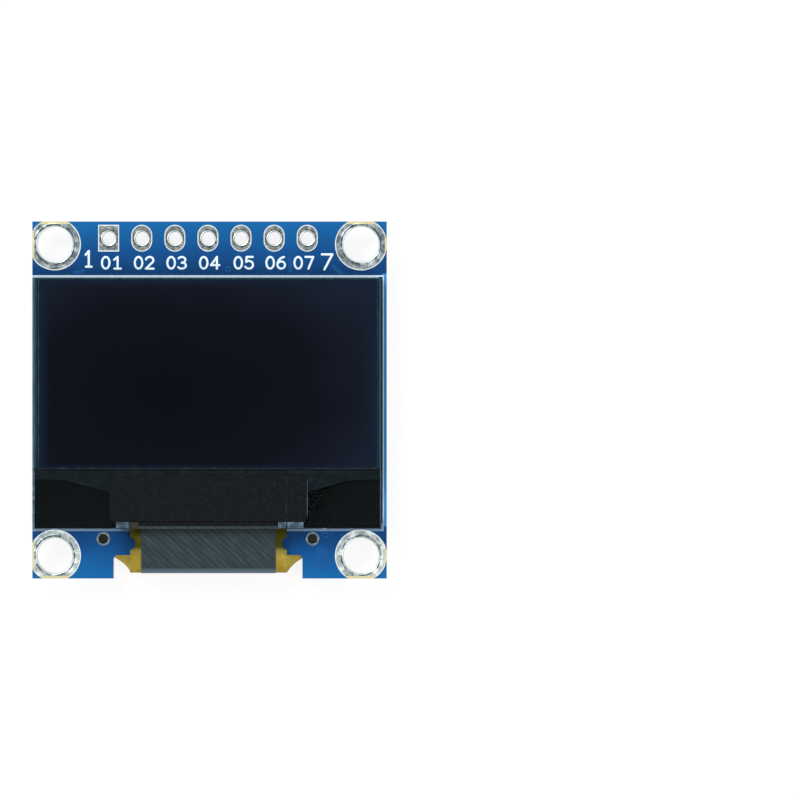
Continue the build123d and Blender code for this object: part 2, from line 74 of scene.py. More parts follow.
class Face(Enum):
    """The two faces of the board: the level that marks lie on and the way they rise from it."""

    FRONT = (1.2, 1.0)
    BACK = (0.0, -1.0)

    @property
    def level(self) -> float:
        """Height of the face."""
        return self.value[0]

    @property
    def rise(self) -> float:
        """Way that leaves the board."""
        return self.value[1]


def linear(code: str) -> tuple[float, float, float, float]:
    """Turns an sRGB hex value into linear light.

    Args:
        code: six hex digits after a hash sign.

    Returns:
        The linear red, green and blue, and full cover.
    """
    parts = [int(code[i : i + 2], 16) / 255 for i in (1, 3, 5)]
    red, green, blue = (c / 12.92 if c <= 0.04045 else ((c + 0.055) / 1.055) ** 2.4 for c in parts)
    return red, green, blue, 1.0


def per_mm(size: float) -> float:
    """Noise scale at which one feature spans a size in millimetres."""
    return 1.0 / (size * MM)


def bands(period: float) -> float:
    """Wave scale at which one band takes a period in millimetres: the texture turns 20 radians a unit."""
    return math.pi / 10 / (period * MM)


def node(tree: Tree, kind: str, settings: dict | None = None, sockets: dict | None = None,
         stops: Stops = ()) -> bpy.types.Node:
    """Adds one node with its settings, its values and its links.

    Args:
        tree: node tree that gets the node.
        kind: Blender's name of the node.
        settings: properties of the node.
        sockets: inputs by name or number, each a value or another node's output.
        stops: places and sRGB colours of a colour ramp.

    Returns:
        The new node.
    """
    made = tree.nodes.new(kind)
    for key, value in (settings or {}).items():
        setattr(made, key, value)
    for key, value in (sockets or {}).items():
        if isinstance(value, bpy.types.NodeSocket):
            tree.links.new(value, made.inputs[key])
        else:
            made.inputs[key].default_value = value
    for index, (place, code) in enumerate(stops):
        ramp = made.color_ramp.elements
        stop = ramp[index] if index < 2 else ramp.new(place)
        stop.position, stop.color = place, linear(code)
    return made


def cell(tree: Tree, place: Socket, start: Pair, pitch: Pair) -> Socket:
    """Finds the flat way from the nearest point of a grid: ((x, y) - start) wrapped to half a pitch each way.

    Args:
        tree: tree of the material.
        place: object coordinates in metres.
        start: one point of the grid in millimetres.
        pitch: steps of the grid in millimetres.

    Returns:
        The socket with the way as a vector in metres.
    """
    flat = node(tree, "ShaderNodeVectorMath", {"operation": "MULTIPLY_ADD"}, {
        0: place, 1: (1.0, 1.0, 0.0), 2: (-start[0] * MM, -start[1] * MM, 0.0)})
    half = [step / 2 * MM for step in pitch]
    return node(tree, "ShaderNodeVectorMath", {"operation": "WRAP"}, {
        0: flat.outputs[0], 1: (half[0], half[1], 1.0), 2: (-half[0], -half[1], -1.0)}).outputs[0]


def facing(tree: Tree) -> Socket:
    """Upward part of the surface's normal."""
    normal = node(tree, "ShaderNodeNewGeometry").outputs["Normal"]
    return node(tree, "ShaderNodeSeparateXYZ", sockets={0: normal}).outputs[2]


@dataclass(frozen=True)
class Finish:
    """A real material's look: tones that a noise of a real grain size spreads over the surface."""

    name: str
    tones: Stops
    grain: float
    roughness: float = 0.5
    metallic: float = 0.0
    specular: float = 0.5
    relief: float = 0.0
    strength: float = 1.0
    detail: float = 3.0
    broken: float = 0.55
    spread: float = 0.25
    sharp: float = 1.0
    stretch: Triple = (1.0, 1.0, 1.0)

    def shade(self, tree: Tree, place: Socket, shader: bpy.types.Node) -> Look:
        """Spreads the tones by noise and takes the same noise as relief.

        Args:
            tree: tree of the material.
            place: object coordinates in metres.
            shader: principled shader to dress.

        Returns:
            The sockets with the colour and the height.
        """
        drawn = node(tree, "ShaderNodeMapping", sockets={"Vector": place, "Scale": self.stretch})
        noise = node(tree, "ShaderNodeTexNoise", sockets={
            "Vector": drawn.outputs[0], "Scale": per_mm(self.grain), "Detail": self.detail,
            "Roughness": self.broken}).outputs[0]
        reach = self.spread / self.sharp
        share = node(tree, "ShaderNodeMapRange", sockets={
            "Value": noise, "From Min": 0.5 - reach, "From Max": 0.5 + reach})
        ramp = node(tree, "ShaderNodeValToRGB", sockets={"Fac": share.outputs[0]}, stops=self.tones)
        return ramp.outputs[0], noise

    def make(self) -> bpy.types.Material:
        """Builds the material from its colour and, where it has relief, from its height.

        Returns:
            The dressed material.
        """
        material = bpy.data.materials.new(self.name)
        material.use_nodes = True
        tree = material.node_tree
        tree.nodes.clear()
        place = node(tree, "ShaderNodeTexCoord").outputs["Object"]
        shader = node(tree, "ShaderNodeBsdfPrincipled", sockets={
            "Roughness": self.roughness, "Metallic": self.metallic, "Specular IOR Level": self.specular})
        node(tree, "ShaderNodeOutputMaterial", sockets={"Surface": shader.outputs[0]})
        colour, height = self.shade(tree, place, shader)
        tree.links.new(colour, shader.inputs["Base Color"])
        if self.relief:
            bump = node(tree, "ShaderNodeBump", sockets={
                "Height": height, "Distance": self.relief * MM, "Strength": self.strength})
            tree.links.new(bump.outputs[0], shader.inputs["Normal"])
        return material


@dataclass(frozen=True)
class SolderMask(Finish):
    """Blue lacquer over a glass-fibre board: painted shade beside the panel, a painted highlight on the front's strip
    at the right, navy round the holes of the back, tan edges.
    """

    back: Stops = ((0.3, "#0d4a8c"), (0.5, "#115396"), (0.7, "#175ca0"))
    edge: Stops = ((0.0, "#a7a177"), (1.0, "#bfb88d"))
    bare: Stops = ((0.0, "#123174"), (0.35, "#123d80"), (0.7, "#114c8e"), (1.0, "#15609f"))
    bare_run: Pair = (10.6, 13.6)
    bare_soft: Pair = (-0.02, 0.06)
    by_hole: Stops = ((0.0, "#11458a"), (1.0, "#145a9a"))
    outline: str = "#1f609e"
    outline_soft: Pair = (0.13, 0.04)
    outline_share: float = 0.8
    # Painted highlight: colour of the lit strip right of the panel, and where that strip starts.
    lit: str = "#3583be"
    lit_from: Pair = (13.36, 13.46)
    # Painted shade: the front is darkest next to the panel and lightens over this run of distances from the middle.
    run: Pair = (9.7, 13.6)
    cloud: float = 0.6
    pin_clear: float = 1.85
    hole_clear: float = 2.85
    flat_part: Pair = (-6.1, 10.56)
    layer: float = 0.18
    weave: float = 0.45
    steep: float = 0.5

    def clearance(self, tree: Tree, place: Socket) -> list[Socket]:
        """Depths inside the two copper-free areas of the back: by the mounting holes and by the header.

        Args:
            tree: tree of the material.
            place: object coordinates in metres.

        Returns:
            The sockets with the depths in metres, negative over copper.
        """
        depths = []
        for start, pitch, reach in ((HOLES, (2 * HOLES[0], ONE_ROW), self.hole_clear),
                                    ((0.0, PIN_ROW), (PIN_PITCH, ONE_ROW), self.pin_clear)):
            away = node(tree, "ShaderNodeVectorMath", {"operation": "LENGTH"}, {0: cell(tree, place, start, pitch)})
            depths.append(node(tree, "ShaderNodeMath", {"operation": "SUBTRACT"}, {
                0: reach * MM, 1: away.outputs["Value"]}).outputs[0])
        axes = node(tree, "ShaderNodeSeparateXYZ", sockets={0: place})
        side = node(tree, "ShaderNodeMath", {"operation": "SUBTRACT"}, {0: self.flat_part[0] * MM, 1: axes.outputs[0]})
        above = node(tree, "ShaderNodeMath", {"operation": "SUBTRACT"}, {0: axes.outputs[1], 1: self.flat_part[1] * MM})
        flat = node(tree, "ShaderNodeMath", {"operation": "MINIMUM"}, {0: side.outputs[0], 1: above.outputs[0]})
        return [depths[0], node(tree, "ShaderNodeMath", {"operation": "MAXIMUM"}, {
            0: depths[1], 1: flat.outputs[0]}).outputs[0]]

    def back_face(self, tree: Tree, place: Socket, noise: Socket) -> Socket:
        """Colours the back: pour, copper-free areas and the paler line where the copper ends.

        Args:
            tree: tree of the material.
            place: object coordinates in metres.
            noise: slow clouds of the lacquer.

        Returns:
            The socket with the colour.
        """
        colour = node(tree, "ShaderNodeValToRGB", sockets={"Fac": noise}, stops=self.back).outputs[0]
        along = node(tree, "ShaderNodeSeparateXYZ", sockets={0: place}).outputs[1]
        height = node(tree, "ShaderNodeMapRange", sockets={
            "Value": along, "From Min": self.bare_run[0] * MM, "From Max": self.bare_run[1] * MM})
        depths = self.clearance(tree, place)
        for depth, stops in zip(depths, (self.by_hole, self.bare)):
            bare = node(tree, "ShaderNodeValToRGB", sockets={"Fac": height.outputs[0]}, stops=stops)
            inside = node(tree, "ShaderNodeMapRange", {"interpolation_type": "SMOOTHSTEP"}, {
                "Value": depth, "From Min": self.bare_soft[0] * MM, "From Max": self.bare_soft[1] * MM})
            colour = node(tree, "ShaderNodeMix", {"data_type": "RGBA"}, {
                "Factor": inside.outputs[0], 6: colour, 7: bare.outputs[0]}).outputs[2]
        depth = node(tree, "ShaderNodeMath", {"operation": "MAXIMUM"}, {0: depths[0], 1: depths[1]})
        step = node(tree, "ShaderNodeMath", {"operation": "ABSOLUTE"}, {0: depth.outputs[0]})
        line = node(tree, "ShaderNodeMapRange", {"interpolation_type": "SMOOTHSTEP"}, {
            "Value": step.outputs[0], "From Min": self.outline_soft[0] * MM, "From Max": self.outline_soft[1] * MM,
            "To Max": self.outline_share})
        return node(tree, "ShaderNodeMix", {"data_type": "RGBA"}, {
            "Factor": line.outputs[0], 6: colour, 7: linear(self.outline)}).outputs[2]

    def front_face(self, tree: Tree, place: Socket, noise: Socket) -> Socket:
        """Colours the front: painted shade beside the panel that lightens to the edges, and a painted highlight on the
        strip at the right.

        Args:
            tree: tree of the material.
            place: object coordinates in metres.
            noise: slow clouds of the lacquer.

        Returns:
            The socket with the colour.
        """
        axes = node(tree, "ShaderNodeSeparateXYZ", sockets={0: place})
        away = node(tree, "ShaderNodeMath", {"operation": "ABSOLUTE"}, {0: axes.outputs[1]})
        # Painted shade: dark beside the panel, lighter towards the board's edges.
        reach = node(tree, "ShaderNodeMapRange", sockets={
            "Value": away.outputs[0], "From Min": self.run[0] * MM, "From Max": self.run[1] * MM})
        cloud = node(tree, "ShaderNodeMath", {"operation": "MULTIPLY_ADD"}, {
            0: noise, 1: self.cloud, 2: -self.cloud / 2})
        both = node(tree, "ShaderNodeMath", {"operation": "ADD", "use_clamp": True}, {
            0: reach.outputs[0], 1: cloud.outputs[0]})
        ramp = node(tree, "ShaderNodeValToRGB", sockets={"Fac": both.outputs[0]}, stops=self.tones)
        # Painted highlight on the strip right of the panel.
        strip = node(tree, "ShaderNodeMapRange", sockets={
            "Value": axes.outputs[0], "From Min": self.lit_from[0] * MM, "From Max": self.lit_from[1] * MM})
        beside = node(tree, "ShaderNodeMath", {"operation": "LESS_THAN"}, {0: away.outputs[0], 1: self.run[0] * MM})
        lit = node(tree, "ShaderNodeMath", {"operation": "MULTIPLY"}, {0: strip.outputs[0], 1: beside.outputs[0]})
        return node(tree, "ShaderNodeMix", {"data_type": "RGBA"}, {
            "Factor": lit.outputs[0], 6: ramp.outputs[0], 7: linear(self.lit)}).outputs[2]

    def shade(self, tree: Tree, place: Socket, shader: bpy.types.Node) -> Look:
        """Picks a colour by the way a face looks and takes the faint weave under the lacquer as relief.

        Args:
            tree: tree of the material.
            place: object coordinates in metres.
            shader: principled shader to dress.

        Returns:
            The sockets with the colour and the height.
        """
        noise = node(tree, "ShaderNodeTexNoise", sockets={
            "Vector": place, "Scale": per_mm(self.grain), "Detail": self.detail}).outputs[0]
        layers = node(tree, "ShaderNodeTexWave", {"bands_direction": "Z"}, {
            "Vector": place, "Scale": bands(self.layer), "Distortion": 2.0, "Detail Scale": 3.0})
        edge = node(tree, "ShaderNodeValToRGB", sockets={"Fac": layers.outputs[1]}, stops=self.edge)
        normal = facing(tree)
        up = node(tree, "ShaderNodeMath", {"operation": "GREATER_THAN"}, {0: normal, 1: 0.0}).outputs[0]
        tilt = node(tree, "ShaderNodeMath", {"operation": "ABSOLUTE"}, {0: normal}).outputs[0]
        flat = node(tree, "ShaderNodeMath", {"operation": "GREATER_THAN"}, {0: tilt, 1: self.steep}).outputs[0]
        faces = node(tree, "ShaderNodeMix", {"data_type": "RGBA"}, {
            "Factor": up, 6: self.back_face(tree, place, noise), 7: self.front_face(tree, place, noise)})
        colour = node(tree, "ShaderNodeMix", {"data_type": "RGBA"}, {
            "Factor": flat, 6: edge.outputs[0], 7: faces.outputs[2]})
        across, along = (node(tree, "ShaderNodeTexWave", {"bands_direction": axis}, {
            "Vector": place, "Scale": bands(self.weave), "Distortion": 1.0}).outputs[1] for axis in "XY")
        weave = node(tree, "ShaderNodeMath", {"operation": "MULTIPLY"}, {0: across, 1: along})
        return colour.outputs[2], weave.outputs[0]


class Outline(Enum):
    """Outer shape of a tinned pad."""

    ROUND = "round"
    OVAL = "oval"
    SQUARE = "square"


@dataclass(frozen=True)
class RingTin(Finish):
    """Hot-levelled tin round a grid of holes: a painted highlight as a bright lip at the hole, dark flecks next to it
    that are partly real mottling and partly painted reflection, a painted dark groove and a painted highlight as a
    bright outer line.

    Fades and runs are shares of the width that they belong to, shares are parts of a full cover.
    """

    broken: float = 0.6
    pitch: Pair = (2 * HOLES[0], 2 * HOLES[1])
    start: Pair = HOLES
    hole: float = 1.35
    outer: float = 2.0
    outline: Outline = Outline.ROUND
    straight: float = 0.225
    cloud: Pair = (0.3, 0.7)
    # Share of tone taken off towards the header: the tin is darker at the top edge.
    header_darkening: float = 0.2
    half: float = 13.0
    lip: float = 0.11
    lip_fade: float = 0.6
    # Painted highlight: tone of the bright lip, light on the meniscus at the hole.
    lip_highlight: str = "#c3cbca"
    line: Pair = (0.09, 0.04)
    line_share: float = 0.85
    # Painted highlight: tone of the bright line along the pad's rounded outer edge.
    bright: str = "#f4f8f8"
    flecks: Pair = (0.42, 0.1)
    fleck_grain: float = 0.36
    fleck_run: float = 0.75
    fleck_limit: Pair = (-0.3, 0.66)
    fleck_soft: float = 0.06
    fleck_share: float = 0.8
    groove: float = 0.1
    groove_middle: float = 0.6
    groove_fade: Pair = (0.7, 0.2)
    groove_cloud: Pair = (0.72, 0.4)
    groove_share: float = 0.9
    ringed: float = 0.1
    # Painted shade: width of a dark line at the hole's edge, none where zero.
    edge: float = 0.0
    edge_fade: float = 0.4
    edge_share: float = 0.75
    # Dark tone of the flecks (partly real mottling, partly painted reflection), the groove (painted dark reflection)
    # and the hole's edge line (painted shade).
    mottle_and_shade: str = "#1f2729"
    laminate: str = "#cfc8a0"
    sawn: Pair = (13.46, 13.5)
    board_middle: float = 0.12

    def rim(self, tree: Tree, way: Socket) -> Socket:
        """Distance that is even along the pad's outline.

        Args:
            tree: tree of the material.
            way: flat way from the hole's centre.

        Returns:
            The socket with the distance in metres.
        """
        size = node(tree, "ShaderNodeVectorMath", {"operation": "ABSOLUTE"}, {0: way}).outputs[0]
        if self.outline is Outline.SQUARE:
            axes = node(tree, "ShaderNodeSeparateXYZ", sockets={0: size})
            tall = node(tree, "ShaderNodeMath", {"operation": "MULTIPLY"}, {
                0: axes.outputs[1], 1: self.outer / (self.outer + self.straight)})
            return node(tree, "ShaderNodeMath", {"operation": "MAXIMUM"}, {
                0: axes.outputs[0], 1: tall.outputs[0]}).outputs[0]
        if self.outline is Outline.OVAL:
            size = node(tree, "ShaderNodeVectorMath", {"operation": "SUBTRACT"}, {
                0: size, 1: (0.0, self.straight * MM, 0.0)}).outputs[0]
            size = node(tree, "ShaderNodeVectorMath", {"operation": "MAXIMUM"}, {
                0: size, 1: (0.0, 0.0, 0.0)}).outputs[0]
        return node(tree, "ShaderNodeVectorMath", {"operation": "LENGTH"}, {0: size}).outputs["Value"]

    def stains(self, tree: Tree, place: Socket, radius: Socket, cloud: Socket) -> Socket:
        """Darkens flecks that thin out from the hole, partly real mottling and partly painted reflection, and a broken
        groove round the lip as a painted dark reflection.

        Args:
            tree: tree of the material.
            place: object coordinates in metres.
            radius: distance from the hole's centre.
            cloud: clouds of the tin.

        Returns:
            The socket with the share of dark.
        """
        speck = node(tree, "ShaderNodeTexNoise", sockets={
            "Vector": place, "Scale": per_mm(self.grain * self.fleck_grain), "Detail": 4.0, "Roughness": self.broken})
        near = node(tree, "ShaderNodeMapRange", sockets={
            "Value": radius, "From Min": (self.hole + self.lip) * MM,
            "From Max": (self.hole + (self.outer - self.hole) * self.fleck_run) * MM,
            "To Min": self.flecks[0], "To Max": self.flecks[1]})
        limit = node(tree, "ShaderNodeMath", {"operation": "MULTIPLY_ADD"}, {
            0: near.outputs[0], 1: self.fleck_limit[0], 2: self.fleck_limit[1]})
        over = node(tree, "ShaderNodeMath", {"operation": "SUBTRACT"}, {0: speck.outputs[0], 1: limit.outputs[0]})
        flecks = node(tree, "ShaderNodeMapRange", sockets={
            "Value": over.outputs[0], "From Min": 0.0, "From Max": self.fleck_soft, "To Max": self.fleck_share})
        middle = (self.hole + self.lip + self.groove * self.groove_middle) * MM
        aside = node(tree, "ShaderNodeMath", {"operation": "SUBTRACT"}, {0: radius, 1: middle})
        away = node(tree, "ShaderNodeMath", {"operation": "ABSOLUTE"}, {0: aside.outputs[0]})
        wide, narrow = (self.groove * fade * MM for fade in self.groove_fade)
        groove = node(tree, "ShaderNodeMapRange", sockets={
            "Value": away.outputs[0], "From Min": wide, "From Max": narrow})
        parts = node(tree, "ShaderNodeMapRange", sockets={
            "Value": cloud, "From Min": self.groove_cloud[0], "From Max": self.groove_cloud[1],
            "To Min": self.ringed, "To Max": self.groove_share})
        broken = node(tree, "ShaderNodeMath", {"operation": "MULTIPLY"}, {0: groove.outputs[0], 1: parts.outputs[0]})
        return node(tree, "ShaderNodeMath", {"operation": "MAXIMUM"}, {
            0: flecks.outputs[0], 1: broken.outputs[0]}).outputs[0]

    def bared(self, tree: Tree, place: Socket) -> Socket:
        """One where the tin was sawn away at the board's edges.

        Args:
            tree: tree of the material.
            place: object coordinates in metres.

        Returns:
            The socket with the mask.
        """
        moved = node(tree, "ShaderNodeVectorMath", {"operation": "SUBTRACT"}, {
            0: place, 1: (self.board_middle * MM, 0.0, 0.0)})
        size = node(tree, "ShaderNodeVectorMath", {"operation": "ABSOLUTE"}, {0: moved.outputs[0]})
        axes = node(tree, "ShaderNodeSeparateXYZ", sockets={0: size.outputs[0]})
        sawn = [node(tree, "ShaderNodeMath", {"operation": "GREATER_THAN"}, {
            0: axes.outputs[axis], 1: self.sawn[axis] * MM}).outputs[0] for axis in (0, 1)]
        return node(tree, "ShaderNodeMath", {"operation": "MAXIMUM"}, {0: sawn[0], 1: sawn[1]}).outputs[0]

    def shade(self, tree: Tree, place: Socket, shader: bpy.types.Node) -> Look:
        """Clouds the tin, darker to the header, lays the dark flecks and groove near the hole, paints highlights on lip
        and outline and, where set, a painted shade line at the hole's edge, bares the sawn rim.

        Args:
            tree: tree of the material.
            place: object coordinates in metres.
            shader: principled shader to dress.

        Returns:
            The sockets with the colour and the height.
        """
        way = cell(tree, place, self.start, self.pitch)
        radius = node(tree, "ShaderNodeVectorMath", {"operation": "LENGTH"}, {0: way}).outputs["Value"]
        noise = node(tree, "ShaderNodeTexNoise", sockets={
            "Vector": place, "Scale": per_mm(self.grain), "Detail": self.detail, "Roughness": self.broken}).outputs[0]
        cloud = node(tree, "ShaderNodeMapRange", sockets={
            "Value": noise, "From Min": self.cloud[0], "From Max": self.cloud[1]}).outputs[0]
        along = node(tree, "ShaderNodeSeparateXYZ", sockets={0: place}).outputs[1]
        # Darker towards the header, lighter towards the far edge.
        shifted = node(tree, "ShaderNodeMapRange", sockets={
            "Value": along, "From Min": -self.half * MM, "From Max": self.half * MM,
            "To Min": self.header_darkening, "To Max": -self.header_darkening})
        tone = node(tree, "ShaderNodeMath", {"operation": "ADD", "use_clamp": True}, {0: cloud, 1: shifted.outputs[0]})
        colour = node(tree, "ShaderNodeValToRGB", sockets={"Fac": tone.outputs[0]}, stops=self.tones).outputs[0]
        lip = node(tree, "ShaderNodeMapRange", sockets={
            "Value": radius, "From Min": (self.hole + self.lip) * MM,
            "From Max": (self.hole + self.lip * self.lip_fade) * MM}).outputs[0]
        line = node(tree, "ShaderNodeMapRange", sockets={
            "Value": self.rim(tree, way), "From Min": (self.outer - self.line[0]) * MM,
            "From Max": (self.outer - self.line[1]) * MM, "To Max": self.line_share}).outputs[0]
        layers = [(self.stains(tree, place, radius, cloud), self.mottle_and_shade), (lip, self.lip_highlight), (line, self.bright)]
        if self.edge:
            # Painted shade: a dark line at the hole's edge.
            hole_edge_shade = node(tree, "ShaderNodeMapRange", sockets={
                "Value": radius, "From Min": (self.hole + self.edge) * MM,
                "From Max": (self.hole + self.edge * self.edge_fade) * MM, "To Max": self.edge_share})
            layers.append((hole_edge_shade.outputs[0], self.mottle_and_shade))
        layers.append((self.bared(tree, place), self.laminate))
        for mask, code in layers:
            colour = node(tree, "ShaderNodeMix", {"data_type": "RGBA"}, {
                "Factor": mask, 6: colour, 7: linear(code)}).outputs[2]
        return colour, noise


@dataclass(frozen=True)
class AmberFilm(Finish):
    """Polyimide film: brown or olive where the board lies behind it, clear glowing amber beyond the notch."""

    beyond: Stops = ((0.3, "#b5a245"), (0.5, "#c3b155"), (0.7, "#d0bf6e"))
    olive: Stops = ((0.3, "#2f2f0c"), (0.5, "#3a3a10"), (0.7, "#4a4716"))
    turn: Pair = (-11.2, -11.95)
    through: float = 0.7
    index: float = 1.08

    def shade(self, tree: Tree, place: Socket, shader: bpy.types.Node) -> Look:
        """Changes from the dark tones to the amber ones along the tail and lets light through the amber.

        Args:
            tree: tree of the material.
            place: object coordinates in metres.
            shader: principled shader to dress.

        Returns:
            The sockets with the colour and the height.
        """
        noise = node(tree, "ShaderNodeTexNoise", sockets={
            "Vector": place, "Scale": per_mm(self.grain), "Detail": self.detail}).outputs[0]
        brown, olive, clear = (
            node(tree, "ShaderNodeValToRGB", sockets={"Fac": noise}, stops=stops).outputs[0]
            for stops in (self.tones, self.olive, self.beyond))
        up = node(tree, "ShaderNodeMath", {"operation": "GREATER_THAN"}, {0: facing(tree), 1: 0.0})
        over = node(tree, "ShaderNodeMix", {"data_type": "RGBA"}, {"Factor": up.outputs[0], 6: brown, 7: olive})
        along = node(tree, "ShaderNodeSeparateXYZ", sockets={0: place}).outputs[1]
        share = node(tree, "ShaderNodeMapRange", {"interpolation_type": "SMOOTHSTEP"}, {
            "Value": along, "From Min": self.turn[0] * MM, "From Max": self.turn[1] * MM})
        colour = node(tree, "ShaderNodeMix", {"data_type": "RGBA"}, {
            "Factor": share.outputs[0], 6: over.outputs[2], 7: clear})
        glow = node(tree, "ShaderNodeMath", {"operation": "MULTIPLY"}, {0: share.outputs[0], 1: self.through})
        tree.links.new(glow.outputs[0], shader.inputs["Transmission Weight"])
        shader.inputs["IOR"].default_value = self.index
        return colour.outputs[2], noise


@dataclass(frozen=True)
class HatchedFilm(Finish):
    """Dark shield film with slanted streaks and a painted highlight where it turns over the fold."""

    stretch: Triple = (0.3, 1.6, 1.0)
    slant: float = 42.0
    streak: float = 0.36
    streak_share: float = 0.22
    tone_run: Pair = (0.25, 0.98)
    # Painted highlight: paler tone where the film turns over the fold.
    pale: str = "#6c8292"
    fold: Pair = (-12.8, -13.2)
    fold_highlight_share: float = 0.7

    def shade(self, tree: Tree, place: Socket, shader: bpy.types.Node) -> Look:
        """Lays slanted bands over the noise and paints a highlight on the fold.

        Args:
            tree: tree of the material.
            place: object coordinates in metres.
            shader: principled shader to dress.

        Returns:
            The sockets with the colour and the height.
        """
        turned = node(tree, "ShaderNodeMapping", sockets={
            "Vector": place, "Rotation": (0.0, 0.0, math.radians(self.slant))})
        streaks = node(tree, "ShaderNodeTexWave", {"bands_direction": "Y"}, {
            "Vector": turned.outputs[0], "Scale": bands(self.streak), "Distortion": 1.6, "Detail": 1.0,
            "Detail Scale": 0.8})
        drawn = node(tree, "ShaderNodeMapping", sockets={"Vector": turned.outputs[0], "Scale": self.stretch})
        noise = node(tree, "ShaderNodeTexNoise", sockets={
            "Vector": drawn.outputs[0], "Scale": per_mm(self.grain), "Detail": self.detail})
        both = node(tree, "ShaderNodeMath", {"operation": "MULTIPLY_ADD"}, {
            0: streaks.outputs[1], 1: self.streak_share, 2: noise.outputs[0]})
        level = node(tree, "ShaderNodeMapRange", sockets={
            "Value": both.outputs[0], "From Min": self.tone_run[0], "From Max": self.tone_run[1]})
        ramp = node(tree, "ShaderNodeValToRGB", sockets={"Fac": level.outputs[0]}, stops=self.tones)
        along = node(tree, "ShaderNodeSeparateXYZ", sockets={0: place}).outputs[1]
        # Painted highlight over the fold.
        share = node(tree, "ShaderNodeMapRange", {"interpolation_type": "SMOOTHSTEP"}, {
            "Value": along, "From Min": self.fold[0] * MM, "From Max": self.fold[1] * MM, "To Max": self.fold_highlight_share})
        colour = node(tree, "ShaderNodeMix", {"data_type": "RGBA"}, {
            "Factor": share.outputs[0], 6: ramp.outputs[0], 7: linear(self.pale)})
        return colour.outputs[2], both.outputs[0]


@dataclass(frozen=True)
class DarkPolariser(Finish):
    """Stretched polariser film over an unlit picture: almost black, a little bluer and lighter to two edges."""

    middle: Pair = (-3.0, 0.5)
    fading: Pair = (17.0, 10.0)
    cloud: float = 0.3
    tone_run: Pair = (0.2, 1.3)
    picture: Pair = (0.0, 1.9)
    half: Pair = (12.3, 6.9)
    frame: str = "#0e1a2b"
    frame_soft: Pair = (0.97, 1.05)
    frame_share: float = 0.8

    def shade(self, tree: Tree, place: Socket, shader: bpy.types.Node) -> Look:
        """Lightens the black by the distance from a point left of the middle, and frames the picture.

        Args:
            tree: tree of the material.
            place: object coordinates in metres.
            shader: principled shader to dress.

        Returns:
            The sockets with the colour and the height.
        """
        scaled, framed = (
            node(tree, "ShaderNodeMapping", {"vector_type": "TEXTURE"}, {
                "Vector": place, "Location": (middle[0] * MM, middle[1] * MM, 0.0),
                "Scale": (size[0] * MM, size[1] * MM, 1.0)}).outputs[0]
            for middle, size in ((self.middle, self.fading), (self.picture, self.half)))
        distance = node(tree, "ShaderNodeVectorMath", {"operation": "LENGTH"}, {0: scaled})
        noise = node(tree, "ShaderNodeTexNoise", sockets={
            "Vector": place, "Scale": per_mm(self.grain), "Detail": self.detail}).outputs[0]
        both = node(tree, "ShaderNodeMath", {"operation": "MULTIPLY_ADD"}, {
            0: noise, 1: self.cloud, 2: distance.outputs["Value"]})
        level = node(tree, "ShaderNodeMapRange", sockets={
            "Value": both.outputs[0], "From Min": self.tone_run[0], "From Max": self.tone_run[1]})
        size = node(tree, "ShaderNodeVectorMath", {"operation": "ABSOLUTE"}, {0: framed})
        sides = node(tree, "ShaderNodeSeparateXYZ", sockets={0: size.outputs[0]})
        reach = node(tree, "ShaderNodeMath", {"operation": "MAXIMUM"}, {0: sides.outputs[0], 1: sides.outputs[1]})
        border = node(tree, "ShaderNodeMapRange", {"interpolation_type": "SMOOTHSTEP"}, {
            "Value": reach.outputs[0], "From Min": self.frame_soft[0], "From Max": self.frame_soft[1],
            "To Max": self.frame_share})
        ramp = node(tree, "ShaderNodeValToRGB", sockets={"Fac": level.outputs[0]}, stops=self.tones)
        colour = node(tree, "ShaderNodeMix", {"data_type": "RGBA"}, {
            "Factor": border.outputs[0], 6: ramp.outputs[0], 7: linear(self.frame)})
        return colour.outputs[2], noise


@dataclass(frozen=True)
class EdgeGlass(Finish):
    """Rim of the panel where the seal shows through the glass: teal outside, almost black at the picture."""

    stretch: Triple = (6.0, 0.4, 1.0)
    span: Pair = (12.9, 13.42)
    top: Pair = (9.12, 9.42)
    cloud: float = 0.6

    def shade(self, tree: Tree, place: Socket, shader: bpy.types.Node) -> Look:
        """Runs the tones from the picture to the outer edge and streaks them along it.

        Args:
            tree: tree of the material.
            place: object coordinates in metres.
            shader: principled shader to dress.

        Returns:
            The sockets with the colour and the height.
        """
        axes = node(tree, "ShaderNodeSeparateXYZ", sockets={0: place})
        across = node(tree, "ShaderNodeMath", {"operation": "ABSOLUTE"}, {0: axes.outputs[0]})
        aside, above = (
            node(tree, "ShaderNodeMapRange", sockets={
                "Value": value, "From Min": run[0] * MM, "From Max": run[1] * MM}).outputs[0]
            for value, run in ((across.outputs[0], self.span), (axes.outputs[1], self.top)))
        reach = node(tree, "ShaderNodeMath", {"operation": "MAXIMUM"}, {0: aside, 1: above})
        drawn = node(tree, "ShaderNodeMapping", sockets={"Vector": place, "Scale": self.stretch})
        noise = node(tree, "ShaderNodeTexNoise", sockets={
            "Vector": drawn.outputs[0], "Scale": per_mm(self.grain), "Detail": self.detail}).outputs[0]
        stirred = node(tree, "ShaderNodeMath", {"operation": "MULTIPLY_ADD"}, {
            0: noise, 1: self.cloud, 2: -self.cloud / 2})
        both = node(tree, "ShaderNodeMath", {"operation": "ADD", "use_clamp": True}, {
            0: reach.outputs[0], 1: stirred.outputs[0]})
        ramp = node(tree, "ShaderNodeValToRGB", sockets={"Fac": both.outputs[0]}, stops=self.tones)
        return ramp.outputs[0], noise


